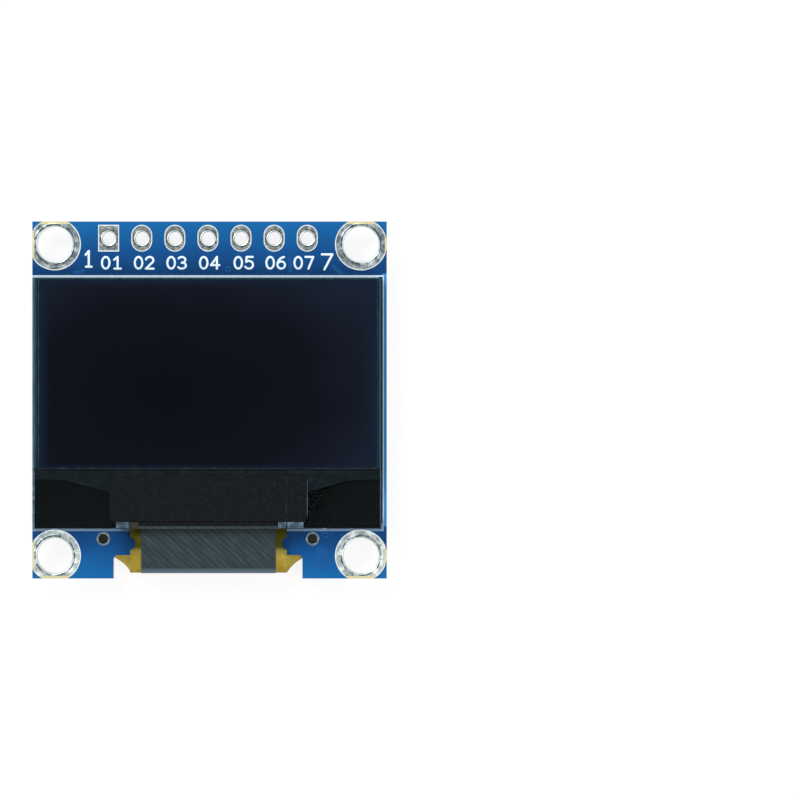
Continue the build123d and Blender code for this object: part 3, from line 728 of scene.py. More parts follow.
@dataclass(frozen=True)
class PanelGlass(Finish):
    """Thin float glass: clear, with the faint green of its thickness and a low gleam."""

    index: float = 1.12

    def shade(self, tree: Tree, place: Socket, shader: bpy.types.Node) -> Look:
        """Lets light through with the glass tint of the noise; a low index keeps the ledge as dark as it looks.

        Args:
            tree: tree of the material.
            place: object coordinates in metres.
            shader: principled shader to dress.

        Returns:
            The sockets with the colour and the height.
        """
        shader.inputs["Transmission Weight"].default_value = 1.0
        shader.inputs["IOR"].default_value = self.index
        return super().shade(tree, place, shader)


@dataclass(frozen=True)
class InkWithPaintedShadow(Finish):
    """White ink, duller and bluer along the panel's lower edge, with a painted shadow beside the panel's right edge."""

    dull: str = "#4d6a88"
    dull_share: float = 0.75
    below: Pair = (-9.0, -9.5)
    # Painted shadow: dark colour on the ink beside the panel's right edge.
    painted_shadow: str = "#213a4c"
    beside: Pair = (13.45, 13.4)
    side: Pair = (13.1, 9.46)

    def shade(self, tree: Tree, place: Socket, shader: bpy.types.Node) -> Look:
        """Spreads the tones by noise and mixes in the dull blue at the lower edge and the painted shadow at the right
        edge.

        Args:
            tree: tree of the material.
            place: object coordinates in metres.
            shader: principled shader to dress.

        Returns:
            The sockets with the colour and the height.
        """
        noise = node(tree, "ShaderNodeTexNoise", sockets={
            "Vector": place, "Scale": per_mm(self.grain), "Detail": self.detail}).outputs[0]
        ramp = node(tree, "ShaderNodeValToRGB", sockets={"Fac": noise}, stops=self.tones)
        axes = node(tree, "ShaderNodeSeparateXYZ", sockets={0: place})
        # Duller, bluer ink below the panel's lower edge.
        shifted = node(tree, "ShaderNodeMapRange", sockets={
            "Value": axes.outputs[1], "From Min": self.below[0] * MM, "From Max": self.below[1] * MM,
            "To Max": self.dull_share})
        thin = node(tree, "ShaderNodeMix", {"data_type": "RGBA"}, {
            "Factor": shifted.outputs[0], 6: ramp.outputs[0], 7: linear(self.dull)})
        # Painted shadow on the ink beside the panel's right edge.
        inner = node(tree, "ShaderNodeMapRange", sockets={
            "Value": axes.outputs[0], "From Min": self.beside[0] * MM, "From Max": self.beside[1] * MM})
        right = node(tree, "ShaderNodeMath", {"operation": "GREATER_THAN"}, {0: axes.outputs[0], 1: self.side[0] * MM})
        away = node(tree, "ShaderNodeMath", {"operation": "ABSOLUTE"}, {0: axes.outputs[1]})
        level = node(tree, "ShaderNodeMath", {"operation": "LESS_THAN"}, {0: away.outputs[0], 1: self.side[1] * MM})
        both = node(tree, "ShaderNodeMath", {"operation": "MULTIPLY"}, {0: right.outputs[0], 1: level.outputs[0]})
        painted_shadow_mask = node(tree, "ShaderNodeMath", {"operation": "MULTIPLY"}, {0: both.outputs[0], 1: inner.outputs[0]})
        colour = node(tree, "ShaderNodeMix", {"data_type": "RGBA"}, {
            "Factor": painted_shadow_mask.outputs[0], 6: thin.outputs[2], 7: linear(self.painted_shadow)})
        return colour.outputs[2], noise


@dataclass(frozen=True)
class ResistorCoat(Finish):
    """Chip resistor: black lacquer on the outer face of a white alumina block."""

    alumina: Stops = ((0.0, "#c9c8c0"), (1.0, "#e4e3dc"))
    outward: float = -0.6

    def shade(self, tree: Tree, place: Socket, shader: bpy.types.Node) -> Look:
        """Keeps the lacquer to faces that look away from the board.

        Args:
            tree: tree of the material.
            place: object coordinates in metres.
            shader: principled shader to dress.

        Returns:
            The sockets with the colour and the height.
        """
        noise = node(tree, "ShaderNodeTexNoise", sockets={
            "Vector": place, "Scale": per_mm(self.grain), "Detail": self.detail}).outputs[0]
        black, white = (
            node(tree, "ShaderNodeValToRGB", sockets={"Fac": noise}, stops=stops).outputs[0]
            for stops in (self.tones, self.alumina))
        outer = node(tree, "ShaderNodeMath", {"operation": "LESS_THAN"}, {0: facing(tree), 1: self.outward})
        colour = node(tree, "ShaderNodeMix", {"data_type": "RGBA"}, {
            "Factor": outer.outputs[0], 6: white, 7: black})
        return colour.outputs[2], noise


# Liquid solder mask, printed and baked: smooth, glossy, slightly cloudy blue with a faint glass weave; on the front it
# carries painted shade beside the panel and a painted highlight on the strip at the right.
BLUE_MASK = SolderMask("blue_solder_mask", ((0.0, "#103b6b"), (0.45, "#11477f"), (1.0, "#145c96")), 3.5, 0.3,
                       specular=0.06, relief=0.006, strength=0.6)
# The same lacquer over a copper track: stands higher and looks lighter.
MASK_ON_COPPER = Finish("solder_mask_on_copper", ((0.0, "#0e5192"), (0.5, "#13599b"), (1.0, "#1a63a6")), 2.0, 0.28,
                        specular=0.1, relief=0.004)
# The same lacquer over bare laminate: deeper navy between the copper areas.
MASK_ON_LAMINATE = Finish("solder_mask_on_laminate", ((0.0, "#0a3270"), (0.5, "#0d397a"), (1.0, "#124585")), 2.0,
                          0.32, specular=0.08, relief=0.004)
# Lacquer over copper on the display side, only a little lighter than the rest.
MASK_FAINT = Finish("solder_mask_on_front_copper", ((0.0, "#154a84"), (0.5, "#18508c"), (1.0, "#1d5995")), 2.0, 0.28,
                    specular=0.06, relief=0.004)
# Hot-air-levelled tin: frozen from a dip, so mottled; dark flecks that are partly painted reflection, a painted dark
# groove, painted highlights on the meniscus and the outline, and on the rings darker towards the header.
RING_TIN = RingTin("levelled_tin_rings", ((0.0, "#56636a"), (0.35, "#8b989c"), (0.65, "#aab5b5"), (1.0, "#d8dfdc")),
                   0.6, 0.34, 1.0, relief=0.02, detail=4.0)
HEADER_TIN = RingTin("levelled_tin_pads", ((0.0, "#475153"), (0.4, "#727d7f"), (0.7, "#8b9594"), (1.0, "#bcc3c0")),
                     0.32, 0.32, 1.0, relief=0.015, detail=4.0, pitch=(PIN_PITCH, ONE_ROW), start=(0.0, PIN_ROW),
                     hole=0.5, outer=0.8, outline=Outline.OVAL, lip=0.1, lip_highlight="#e3e8e7", groove=0.07, ringed=0.55,
                     edge=0.035, flecks=(0.35, 0.2), sawn=(BEYOND, BEYOND), header_darkening=0.0)
FIRST_TIN = replace(HEADER_TIN, name="levelled_tin_square_pad", outline=Outline.SQUARE)
# Solder and tinned leads: bright metal with soft dull clouds.
SOFT_TIN = Finish("reflowed_tin", ((0.0, "#a4aca8"), (0.3, "#c3c9c5"), (0.6, "#d6dbd8"), (1.0, "#eceeec")), 0.45,
                  0.42, 1.0, relief=0.012)
# Solder drawn along the tail's fingers: bright runs between dull grooves.
DRAWN_TIN = Finish("drawn_solder", ((0.0, "#8b928d"), (0.25, "#b6bcb7"), (0.5, "#d3d8d3"), (0.75, "#e8ebe7"),
                                    (1.0, "#fbfcfa")), 0.24, 0.34, 1.0, relief=0.01, detail=4.0,
                   stretch=(1.6, 0.45, 1.0))
# Tin under a film of flux: duller and bluish.
DULL_TIN = Finish("flux_dulled_tin", ((0.0, "#4a5c62"), (0.5, "#64767c"), (1.0, "#8a9a9d")), 0.3, 0.4, 1.0,
                  relief=0.01)
# Plated ends of the chip parts: fine matte pearl.
PEARL_TIN = Finish("barrel_plated_tin", ((0.0, "#b4bbb6"), (0.5, "#c8cec9"), (1.0, "#e3e6e2")), 0.3, 0.42, 0.85,
                   relief=0.006)
# Closed-cell foam tape: dull black with tiny pores on its cut edge.
BLACK_FOAM = Finish("black_foam_tape", ((0.0, "#060708"), (1.0, "#15171a")), 0.12, 0.9, specular=0.02, relief=0.01)
# Float glass of the panel: clear, faintly green at the edges.
CLEAR_GLASS = PanelGlass("float_glass", ((0.0, "#b9d0d2"), (1.0, "#cfe0e0")), 6.0, 0.02, specular=0.12)
# Ultraviolet-cured seal resin on the glass: grey-teal, a little streaky.
SEAL_RESIN = Finish("cured_seal_resin", ((0.0, "#33525b"), (0.5, "#3b6470"), (1.0, "#4c7a88")), 1.4, 0.45,
                    specular=0.2)
# The seal seen through the rim of the glass: teal with fine upright streaks.
RIM_GLASS = EdgeGlass("seal_under_glass", ((0.0, "#0f181c"), (0.35, "#182a31"), (0.7, "#2c4751"), (1.0, "#5a7581")),
                      0.7, 0.3, specular=0.05)
# Pressed drying sheet: soft white paper-like felt.
DRY_SHEET = Finish("pressed_drying_sheet", ((0.0, "#c3c3bb"), (1.0, "#dcdcd6")), 0.3, 0.9, relief=0.02)
# Vapour-deposited electrode metal: grey mirror with faint stains.
EMITTER_METAL = Finish("deposited_electrode_metal", ((0.0, "#3c4046"), (1.0, "#565c64")), 1.5, 0.25, 1.0)
# Polariser film: deep black with a low satin gleam.
POLARISER = DarkPolariser("polariser_film", ((0.0, "#05070e"), (0.6, "#090c15"), (1.0, "#131a28")), 4.0, 0.1,
                          specular=0.03)
# Bare silicon: dark grey, polished.
SILICON = Finish("bare_silicon", ((0.0, "#1b1e23"), (1.0, "#2d3138")), 0.8, 0.2)
# Black polyester tape: satin black with a very fine grain.
BLACK_TAPE = Finish("black_polyester_tape", ((0.0, "#0e1215"), (0.5, "#12161a"), (1.0, "#171c20")), 0.35, 0.45,
                    specular=0.03, relief=0.003)
# Polyimide film: amber, glossy, slightly rippled.
POLYIMIDE = AmberFilm("polyimide_film", ((0.3, "#3a2c0f"), (0.5, "#493a16"), (0.7, "#5c4c22")), 1.1, 0.25,
                      specular=0.1, relief=0.008)
# Hatched shield film: slate ink on polyester, streaked.
SHIELD_FILM = HatchedFilm("hatched_shield_film", ((0.0, "#232b2f"), (0.4, "#2a3438"), (0.75, "#323d41"),
                                                  (1.0, "#3c474c")), 0.45, 0.4, specular=0.08, relief=0.004)
# Transfer adhesive: milky and dull.
ADHESIVE = Finish("transfer_adhesive", ((0.0, "#6a675d"), (1.0, "#848074")), 0.5, 0.6)
# Copper under amber film: warm gold with soft bright runs.
GOLD_COPPER = Finish("copper_under_amber", ((0.0, "#ae7814"), (0.5, "#cc9322"), (1.0, "#e3b44c")), 0.9, 0.36, 0.55,
                     relief=0.006)
# Epoxy moulding compound: charcoal with pale filler grains.
EPOXY = Finish("epoxy_moulding", ((0.0, "#15191b"), (0.6, "#1e2427"), (0.85, "#282e32"), (1.0, "#4c5458")), 0.09,
               0.55, specular=0.2, relief=0.012, sharp=0.8)
# Printed epoxy ink: pale blue-white, slightly uneven in cover.
WHITE_INK = Finish("white_epoxy_ink", ((0.0, "#c0d9ea"), (0.4, "#d6e9f4"), (1.0, "#ecf7fc")), 0.4, 0.6,
                   specular=0.1, relief=0.004)
# The front's lines: the same ink, duller blue below the panel and with a painted shadow beside its right edge.
FRONT_INK = InkWithPaintedShadow("front_epoxy_ink", ((0.0, "#a3c0da"), (0.4, "#c3d8ea"), (1.0, "#dceaf6")), 0.25, 0.6,
                    specular=0.1)
# Fired barium titanate: dull khaki brown with a fine sandy grain.
CERAMIC = Finish("fired_ceramic", ((0.0, "#766246"), (0.5, "#8c7753"), (1.0, "#a28c66")), 0.18, 0.5, specular=0.3,
                 relief=0.006)
# Lacquer screened on an alumina chip: satin black on a white ceramic block.
COAT = ResistorCoat("lacquer_on_alumina", ((0.0, "#14181b"), (1.0, "#262b2f")), 0.2, 0.4, specular=0.25)
# Dark bore of a tented via: the lacquer sinks in and stays in shade.
VIA_SHADE = Finish("via_hollow", ((0.0, "#0b2a58"), (1.0, "#123a72")), 0.2, 0.5, specular=0.1)
# Ground glass edge: pale grind marks and small chips, its palest flecks painted glints.
GROUND_EDGE = Finish("ground_glass_edge", ((0.0, "#283640"), (0.5, "#435663"), (0.8, "#5f7480"), (1.0, "#a9bac2")),
                     0.35, 0.5, specular=0.05)
# Cut edge of clear film: a fine grey-green line; along the tape's right edge the same finish is a painted highlight.
FILM_EDGE = Finish("cut_film_edge", ((0.0, "#263238"), (0.5, "#3c4b52"), (1.0, "#5d7078")), 0.9, 0.5, specular=0.05)
# Cut edge of the black tape: barely paler than the tape.
TAPE_EDGE = Finish("cut_tape_edge", ((0.0, "#161c20"), (0.5, "#222b30"), (1.0, "#364248")), 0.9, 0.5, specular=0.05)
# Painted shade between the copper traces: a deep brown slab that darkens the amber film in the gaps.
PAINTED_TRACE_SHADE = Finish("painted_shade_between_traces", ((0.0, "#2a1d08"), (0.5, "#38280c"), (1.0, "#483514")), 0.8, 0.35,
                   specular=0.08)
# The tail's first corner, deep in the shade of the ledge.
LEDGE_AMBER = Finish("shaded_polyimide", ((0.0, "#1f2020"), (0.5, "#2b2a26"), (1.0, "#3d372f")), 0.5, 0.4,
                     specular=0.05)
# Fan-out lines of metal under the ledge glass: dark, slightly green.
FAN_OUT = Finish("fan_out_metal", ((0.0, "#0c1215"), (0.5, "#12191c"), (1.0, "#192124")), 0.6, 0.35, specular=0.03)
# Crumpled clear film at the tail's bond: milky grey-blue.
BOND_FILM = Finish("bond_film", ((0.0, "#293843"), (0.5, "#384a57"), (1.0, "#6c7e90")), 0.4, 0.35, specular=0.1,
                   sharp=1.1)


def walk(path: Iterable[Pair], step: float, soften: int = 0) -> Points:
    """Spaces points along a polyline: x(s) and y(s) read at even arc lengths, corners softened by a running mean.

    Args:
        path: corners of the polyline.
        step: largest distance between two points.
        soften: half width of the running mean, in points.

    Returns:
        Points as rows of x and y.
    """
    corners = np.asarray(path, float)
    lengths = np.concatenate([[0.0], np.cumsum(np.hypot(*np.diff(corners, axis=0).T))])
    places = np.linspace(0.0, lengths[-1], max(4, int(math.ceil(lengths[-1] / step)) + 1))
    line = np.column_stack([np.interp(places, lengths, corners[:, k]) for k in (0, 1)])
    if soften:
        window = np.ones(2 * soften + 1) / (2 * soften + 1)
        padded = np.pad(line, ((soften, soften), (0, 0)), mode="edge")
        line = np.column_stack([np.convolve(padded[:, k], window, mode="valid") for k in (0, 1)])
    return line


def ribbon(path: Points, half_width: float, height: float, level: float, rise: float, closed: bool = False) -> Points:
    """Carries a flat-topped ridge along a path: P(s, u) = c(s) + n(s) w(s) p(u), z(u) = level + rise h q(u).

    The width w follows a half circle at each end of an open path, so the ends are round.

    Args:
        path: points of the centre line.
        half_width: half the ridge's width.
        height: height of the ridge.
        level: level of the face that it stands on.
        rise: 1 for a ridge that points up, -1 for one that points down.
        closed: whether the path runs into itself.

    Returns:
        Grid of points, stations by profile.
    """
    tangent = np.roll(path, -1, 0) - np.roll(path, 1, 0) if closed else np.gradient(path, axis=0)
    tangent /= np.maximum(np.hypot(tangent[:, 0], tangent[:, 1]), 1e-9)[:, None]
    if not closed:
        ends = np.array([1.0, 0.75, 0.35])[:, None] * half_width
        path = np.concatenate([path[0] - ends * tangent[0], path, path[-1] + ends[::-1] * tangent[-1]])
        tangent = np.concatenate([np.repeat(tangent[:1], 3, 0), tangent, np.repeat(tangent[-1:], 3, 0)])
    normal = np.column_stack([-tangent[:, 1], tangent[:, 0]])
    width = np.full(len(path), half_width)
    if not closed:
        width[:3] = half_width * np.array([0.12, 0.66, 0.94])
        width[-3:] = width[2::-1]
    across = np.array([-1.0, -0.94, -0.75, 0.75, 0.94, 1.0])
    up = np.array([0.0, 0.75, 1.0, 1.0, 0.75, 0.0])
    flat = path[:, None, :] + normal[:, None, :] * (width[:, None] * across)[:, :, None]
    z = np.broadcast_to(level + rise * height * up, flat.shape[:2])
    return np.concatenate([flat, z[:, :, None]], axis=2)


def lathe(profile: Sequence[Pair], centre: Pair, turns: int = 28) -> Points:
    """Turns a profile about an upright axis: (x + r(t) cos a, y + r(t) sin a, z(t)).

    Args:
        profile: radius and height of each profile point.
        centre: place of the axis.
        turns: points round the axis.

    Returns:
        Grid of points, profile by turn.
    """
    angle = np.linspace(0.0, 2 * math.pi, turns, endpoint=False)
    radius, height = np.asarray(profile, float).T
    return np.stack([centre[0] + radius[:, None] * np.cos(angle), centre[1] + radius[:, None] * np.sin(angle),
                     np.repeat(height[:, None], turns, 1)], axis=-1)


def between(first: Points, second: Points, low: float, high: float) -> Points:
    """Fills the strip between two curves with a thin slab: corners A(s) low, A(s) high, B(s) high, B(s) low.

    Args:
        first: points of one curve.
        second: as many points of the other curve.
        low: level of the slab's lower face.
        high: level of its upper face.

    Returns:
        Grid of points, stations by four corners.
    """
    ring = np.stack([first, first, second, second], axis=1)
    z = np.broadcast_to(np.array([low, high, high, low]), ring.shape[:2])
    return np.concatenate([ring, z[:, :, None]], axis=2)


@dataclass
class Shell:
    """Closed numpy surfaces, in millimetres, gathered into one mesh piece."""

    name: str
    slot: str
    points: list[Points] = field(default_factory=list)
    faces: list[list[int]] = field(default_factory=list)
    count: int = 0

    def add(self, surface: Points, ring: bool = False) -> None:
        """Adds a grid whose columns close on themselves.

        Args:
            surface: grid of points, rows by columns by three.
            ring: whether the rows close on themselves too; otherwise the first and last row are capped.
        """
        rows, columns, _ = surface.shape
        index = np.arange(rows * columns).reshape(rows, columns) + self.count
        if not ring:
            self.faces += [index[0].tolist(), index[-1, ::-1].tolist()]
        index = np.concatenate([index, index[:, :1]], axis=1)
        index = np.concatenate([index, index[:1]]) if ring else index
        quads = np.stack([index[:-1, :-1], index[1:, :-1], index[1:, 1:], index[:-1, 1:]], axis=-1)
        self.faces += quads.reshape(-1, 4).tolist()
        self.points.append(surface.reshape(-1, 3))
        self.count += rows * columns

    def make(self, material: bpy.types.Material) -> None:
        """Writes the mesh, turns its faces outwards and lets it ride on the module.

        Args:
            material: finish of the piece.
        """
        mesh = bpy.data.meshes.new(self.name)
        mesh.from_pydata((np.concatenate(self.points) * MM).tolist(), [], self.faces)
        shell = bmesh.new()
        shell.from_mesh(mesh)
        bmesh.ops.recalc_face_normals(shell, faces=shell.faces)
        shell.to_mesh(mesh)
        shell.free()
        mesh.materials.append(material)
        piece = bpy.data.objects.new(self.name, mesh)
        bpy.context.scene.collection.objects.link(piece)
        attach(piece, "root")
        log.info("piece %s: %d points, %d faces", self.name, self.count, len(self.faces))


def dress(material: bpy.types.Material, *names: str) -> None:
    """Gives one material to the named solids.

    Args:
        material: finish to assign.
        names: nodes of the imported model.
    """
    for name in names:
        mesh = frame["nodes"][name].data
        mesh.materials.clear()
        mesh.materials.append(material)
        log.info("node %s: %s", name, material.name)


def arc(centre: Pair, radii: Pair, start: float, end: float, count: int = 14) -> list[Pair]:
    """Points on an ellipse between two angles in degrees."""
    angle = np.radians(np.linspace(start, end, count))
    return list(zip(centre[0] + radii[0] * np.cos(angle), centre[1] + radii[1] * np.sin(angle)))


DIGITS: dict[str, list[list[Pair]]] = {
    "0": [arc((0.3, 0.5), (0.28, 0.5), 90, 450, 26)],
    "1": [[(0.1, 0.76), (0.36, 1.0)], [(0.36, 1.0), (0.36, 0.0)], [(0.12, 0.0), (0.6, 0.0)]],
    "2": [arc((0.3, 0.72), (0.28, 0.28), 165, -35), [(0.53, 0.56), (0.02, 0.0)], [(0.02, 0.0), (0.6, 0.0)]],
    "3": [arc((0.27, 0.75), (0.27, 0.25), 150, -90), arc((0.27, 0.26), (0.31, 0.26), 85, -150)],
    "4": [[(0.46, 0.0), (0.46, 1.0)], [(0.46, 1.0), (0.02, 0.3)], [(0.02, 0.3), (0.64, 0.3)]],
    "5": [[(0.55, 1.0), (0.1, 1.0)], [(0.1, 1.0), (0.07, 0.57)], arc((0.27, 0.33), (0.31, 0.33), 130, -150)],
    "6": [arc((0.6, 0.33), (0.58, 0.67), 100, 180), arc((0.3, 0.31), (0.28, 0.31), 180, 540, 22)],
    "7": [[(0.02, 1.0), (0.6, 1.0)], [(0.6, 1.0), (0.24, 0.0)]],
    "8": [arc((0.3, 0.75), (0.24, 0.25), 90, 450, 20), arc((0.3, 0.26), (0.29, 0.26), 90, 450, 22)],
    "9": [arc((0.0, 0.67), (0.58, 0.67), -80, 0), arc((0.3, 0.69), (0.28, 0.31), 0, 360, 22)],
}


@dataclass(frozen=True)
class Label:
    """A number to print: its middle as seen, the height of its digits, its turn in degrees, widening and slant."""

    text: str
    place: Pair
    size: float
    turn: float = 0.0
    width: float = 1.0
    lean: float = 0.0


@dataclass
class Numbers:
    """Plain numbers drawn with round pen strokes; a digit's later strokes lie a little higher than its first."""

    shell: Shell
    pen: float = 0.2
    height: float = 0.02
    advance: float = 0.82
    bearing: float = 0.22
    lift: float = 0.12

    def write(self, label: Label, level: float, rise: float, from_back: bool = False) -> None:
        """Writes a number: unit strokes scaled, leant, turned and moved to its place.

        Args:
            label: number to write.
            level: level of the face.
            rise: way the ink rises.
            from_back: whether the place and the number are read from the back.
        """
        advance = self.advance * label.width
        span = len(label.text) * advance - self.bearing * label.width
        cosine, sine = math.cos(math.radians(label.turn)), math.sin(math.radians(label.turn))
        for index, digit in enumerate(label.text):
            for layer, stroke in enumerate(DIGITS[digit]):
                line = np.asarray(stroke, float)
                y = (line[:, 1] - 0.5) * label.size
                x = (line[:, 0] * label.width + index * advance - span / 2) * label.size + label.lean * y
                placed = np.column_stack([label.place[0] + x * cosine - y * sine,
                                          label.place[1] + x * sine + y * cosine])
                if from_back:
                    placed[:, 0] = BACK_VIEW_SHIFT - placed[:, 0]
                closed = bool(np.allclose(line[0], line[-1]))
                path = walk(placed, self.pen / 2)
                height = self.height * (1 + self.lift * layer)
                self.shell.add(ribbon(path[:-1] if closed else path, self.pen / 2, height, level, rise, closed),
                               ring=closed)


@dataclass
class Board:
    """The blue board: its tin, the copper that shows through the lacquer, its vias and its printed numbers.

    Curves and places on the back are given as seen from the back. A dark field lies between two curves, a gap is a
    box of left, top, right and bottom, and a track has a width and its corners. A via's hollow has shares of the
    via's radius and depths below its ring.
    """

    ring_swell: Pair = (1.42, 1.66)
    ring_height: float = 0.03
    pins: int = 7
    pin_swell: Pair = (0.52, 0.68)
    pin_height: float = 0.035
    plating: float = 0.04
    copper: float = 0.03
    faint_copper: float = 0.012
    skin: float = 0.012
    field_steps: float = 59.5
    field_soften: int = 5
    track_step: float = 0.15
    track_soften: int = 2
    via: float = 0.34
    front_via: float = 0.7
    via_bore: float = 0.4
    via_over: float = 0.01
    hollow_foot: float = 0.5
    hollow: Curve = ((0.48, 0.012), (0.2, 0.02))
    dark_fields: Sequence[tuple[Curve, Curve]] = (
        (((-3.3, 11.2), (-3.5, 9.0), (-2.7, 8.3), (-2.7, 3.4), (-2.3, 2.8)),
         ((2.4, 11.3), (0.65, 9.4), (0.62, 8.0), (0.62, 3.2), (0.62, 2.2))),
        (((2.9, 11.2), (1.4, 9.3), (1.38, 2.0)), ((3.4, 10.9), (2.45, 9.3), (2.45, 2.0))),
        (((-11.2, -3.65), (11.75, -3.65)), ((-11.2, -6.3), (11.75, -6.3))),
        (((9.12, 1.3), (9.42, 0.9), (9.5, 0.3), (9.5, -2.4), (9.0, -3.1), (8.6, -3.4)),
         ((9.2, 1.95), (9.85, 1.35), (10.15, 0.6), (10.15, -2.8), (9.6, -3.4), (9.0, -3.65))),
        (((-6.05, 8.3), (-6.05, 3.4)), ((-2.94, 8.3), (-2.71, 7.5), (-2.71, 3.4))),
        (((-11.2, 4.32), (-9.9, 4.36), (-8.8, 4.36), (-8.4, 4.1), (-8.25, 3.5)),
         ((-11.2, 4.1), (-10.6, 3.45), (-10.0, 2.75), (-9.3, 2.35), (-8.4, 2.9))),
    )
    gaps: Sequence[tuple[float, float, float, float]] = (
        (-12.42, 1.85, -2.88, -2.0), (-2.5, 1.85, 6.68, -2.0), (6.97, 1.85, 9.05, -2.0),
        (-4.75, 3.51, -2.6, 2.9), (-6.05, 3.51, -5.0, 3.0),
        (-11.15, 7.85, -9.45, 4.55), (-8.15, 7.85, -6.45, 4.55), (-9.45, 6.75, -8.15, 5.75),
        (-6.45, 6.75, -6.05, 5.75), (-11.6, 6.6, -11.15, 5.8),
        (2.45, 9.6, 6.1, 2.1), (6.1, 10.1, 6.7, 1.95), (6.7, 8.1, 7.9, 3.8),
    )
    strips: Sequence[tuple[float, float, float, float]] = ((-13.58, 9.0, -12.75, -8.8), (12.75, 9.0, 13.52, -8.8))
    back_tracks: Sequence[tuple[float, Curve]] = (
        (0.42, ((0.2, 11.2), (0.2, 10.0), (-0.3, 9.6), (-0.3, 3.0), (-1.5, 1.9))),
        (0.42, ((2.7, 11.2), (1.0, 9.3), (1.0, 2.0))),
        (0.45, ((7.75, 11.2), (7.75, 10.5))),
        (0.3, ((-1.4, 10.0), (-2.8, 10.1), (-4.2, 9.2))),
        (0.3, ((-2.3, 4.45), (-1.4, 4.45))),
        (0.3, ((2.0, 6.0), (2.6, 6.6))),
        (0.3, ((1.8, 3.9), (2.4, 3.4))),
        (0.35, ((9.22, 0.9), (9.25, -2.4), (8.7, -3.0))),
        (0.3, ((-9.35, 3.45), (-9.95, 4.3))),
        (0.22, ((6.83, 2.7), (6.83, -3.4))),
        (0.22, ((-2.7, 1.9), (-2.7, -2.2))),
        (0.3, ((-8.8, 5.7), (-8.8, 4.3))),
    )
    back_vias: Curve = (
        (-9.35, 3.45), (-1.4, 4.45), (-1.4, 10.0), (2.0, 6.0), (1.8, 3.9), (1.05, 2.5), (5.6, 1.9), (2.65, 2.3),
    )
    back_dots: Curve = ((-11.25, 2.75), (-6.25, 2.75), (12.75, -0.2), (8.75, 8.2))
    dot_profile: Curve = ((0.14, 0.0), (0.13, -0.014), (0.05, -0.016))
    front_tracks: Sequence[tuple[float, Curve]] = (
        (0.3, ((-10.3, 9.75), (-9.7, 9.8), (-9.5, 9.95))),
        (0.3, ((9.6, 10.3), (9.9, 9.9), (10.3, 9.72))),
        (0.9, ((8.7, -11.5), (8.7, -12.7))),
        (0.3, ((6.3, 10.9), (6.35, 9.8))),
    )
    front_vias: Curve = ((8.97, -10.35), (1.56, 10.02))
    pin_numbers: Sequence[float] = (-7.42, -4.9, -2.4, 0.1, 2.75, 5.2, 7.35)
    pin_number_y: float = 10.53
    end_numbers: Sequence[Label] = (
        Label("1", (-9.2, 10.83), size=1.2, width=0.75),
        Label("7", (9.08, 10.6), size=1.15, width=1.2, lean=0.1),
    )
    row_numbers: Sequence[float] = (-11.38, -8.83, -6.35, -3.95, -1.5, 0.9, 3.2, 5.6, 8.0)
    row_number_y: float = -3.1
    ladder_numbers: Sequence[float] = (8.72, 6.85, 5.0, 3.2)
    ladder_number_x: float = 7.55
    lone_numbers: Sequence[Label] = (
        Label("41", (-12.35, 6.3), size=1.05, turn=90.0, width=1.1),
        Label("42", (-7.35, 3.15), size=1.05, turn=90.0, width=1.1),
        Label("51", (-1.12, 7.1), size=1.05, width=0.95),
    )
    fine_pen: float = 0.16
    bold_pen: float = 0.17
    back_pen: float = 0.25

    def dress(self) -> None:
        """Dresses the board, its plating and its printed lines."""
        dress(BLUE_MASK.make(), "printed_board")
        dress(RING_TIN.make(), "mounting_rings")
        dress(FIRST_TIN.make(), "header_pad_1")
        dress(HEADER_TIN.make(), *[f"header_pad_{i}" for i in range(2, self.pins + 1)])
        dress(FRONT_INK.make(), "silkscreen_front")
        dress(WHITE_INK.make(), "silkscreen_back")
        dress(DULL_TIN.make(), "locating_rings")
        dress(SOFT_TIN.make(), "bare_pads", "transistor_pads", "transistor_leads", "solder_joints")
        dress(DRAWN_TIN.make(), "solder_fingers", "flex_pads")

    def swell(self, shell: Shell, centre: Pair, radii: Pair, level: float, rise: float, height: float) -> None:
        """Adds a rounded ring of tin: a half-round profile between two radii, turned about a hole.

        Args:
            shell: piece that gets the ring.
            centre: place of the hole.
            radii: inner and outer radius.
            level: level of the pad.
            rise: way the tin rises.
            height: height of the swell.
        """
        angle = np.linspace(0.0, math.pi, 9)
        middle, half = sum(radii) / 2, (radii[1] - radii[0]) / 2
        profile = np.column_stack([middle - half * np.cos(angle), level + rise * height * np.sin(angle)])
        shell.add(lathe(profile, centre, turns=40), ring=True)

    def tin(self) -> None:
        """Raises the tin round the mounting holes and the header holes on both faces."""
        rings, pads = Shell("tin_swell_rings", "tin"), Shell("tin_swell_pads", "tin")
        for face in Face:
            level = face.level + face.rise * self.plating
            for x in (-HOLES[0], HOLES[0]):
                for y in (-HOLES[1], HOLES[1]):
                    self.swell(rings, (x, y), self.ring_swell, level, face.rise, self.ring_height)
            for index in range(self.pins):
                centre = ((index - self.pins // 2) * PIN_PITCH, PIN_ROW)
                self.swell(pads, centre, self.pin_swell, level, face.rise, self.pin_height)
        rings.make(RING_TIN.make())
        pads.make(HEADER_TIN.make())

    def tracks(self, shell: Shell, face: Face, runs: Sequence[tuple[float, Curve]], height: float) -> None:
        """Lays ridges along tracks.

        Args:
            shell: piece that gets the ridges.
            face: face of the board.
            runs: width and corners of each track, as seen from that face.
            height: height of the ridges.
        """
        for width, corners in runs:
            line = walk(corners, min(self.track_step, width / 2), self.track_soften)
            if face is Face.BACK:
                line[:, 0] = BACK_VIEW_SHIFT - line[:, 0]
            shell.add(ribbon(line, width / 2, height, face.level, face.rise))

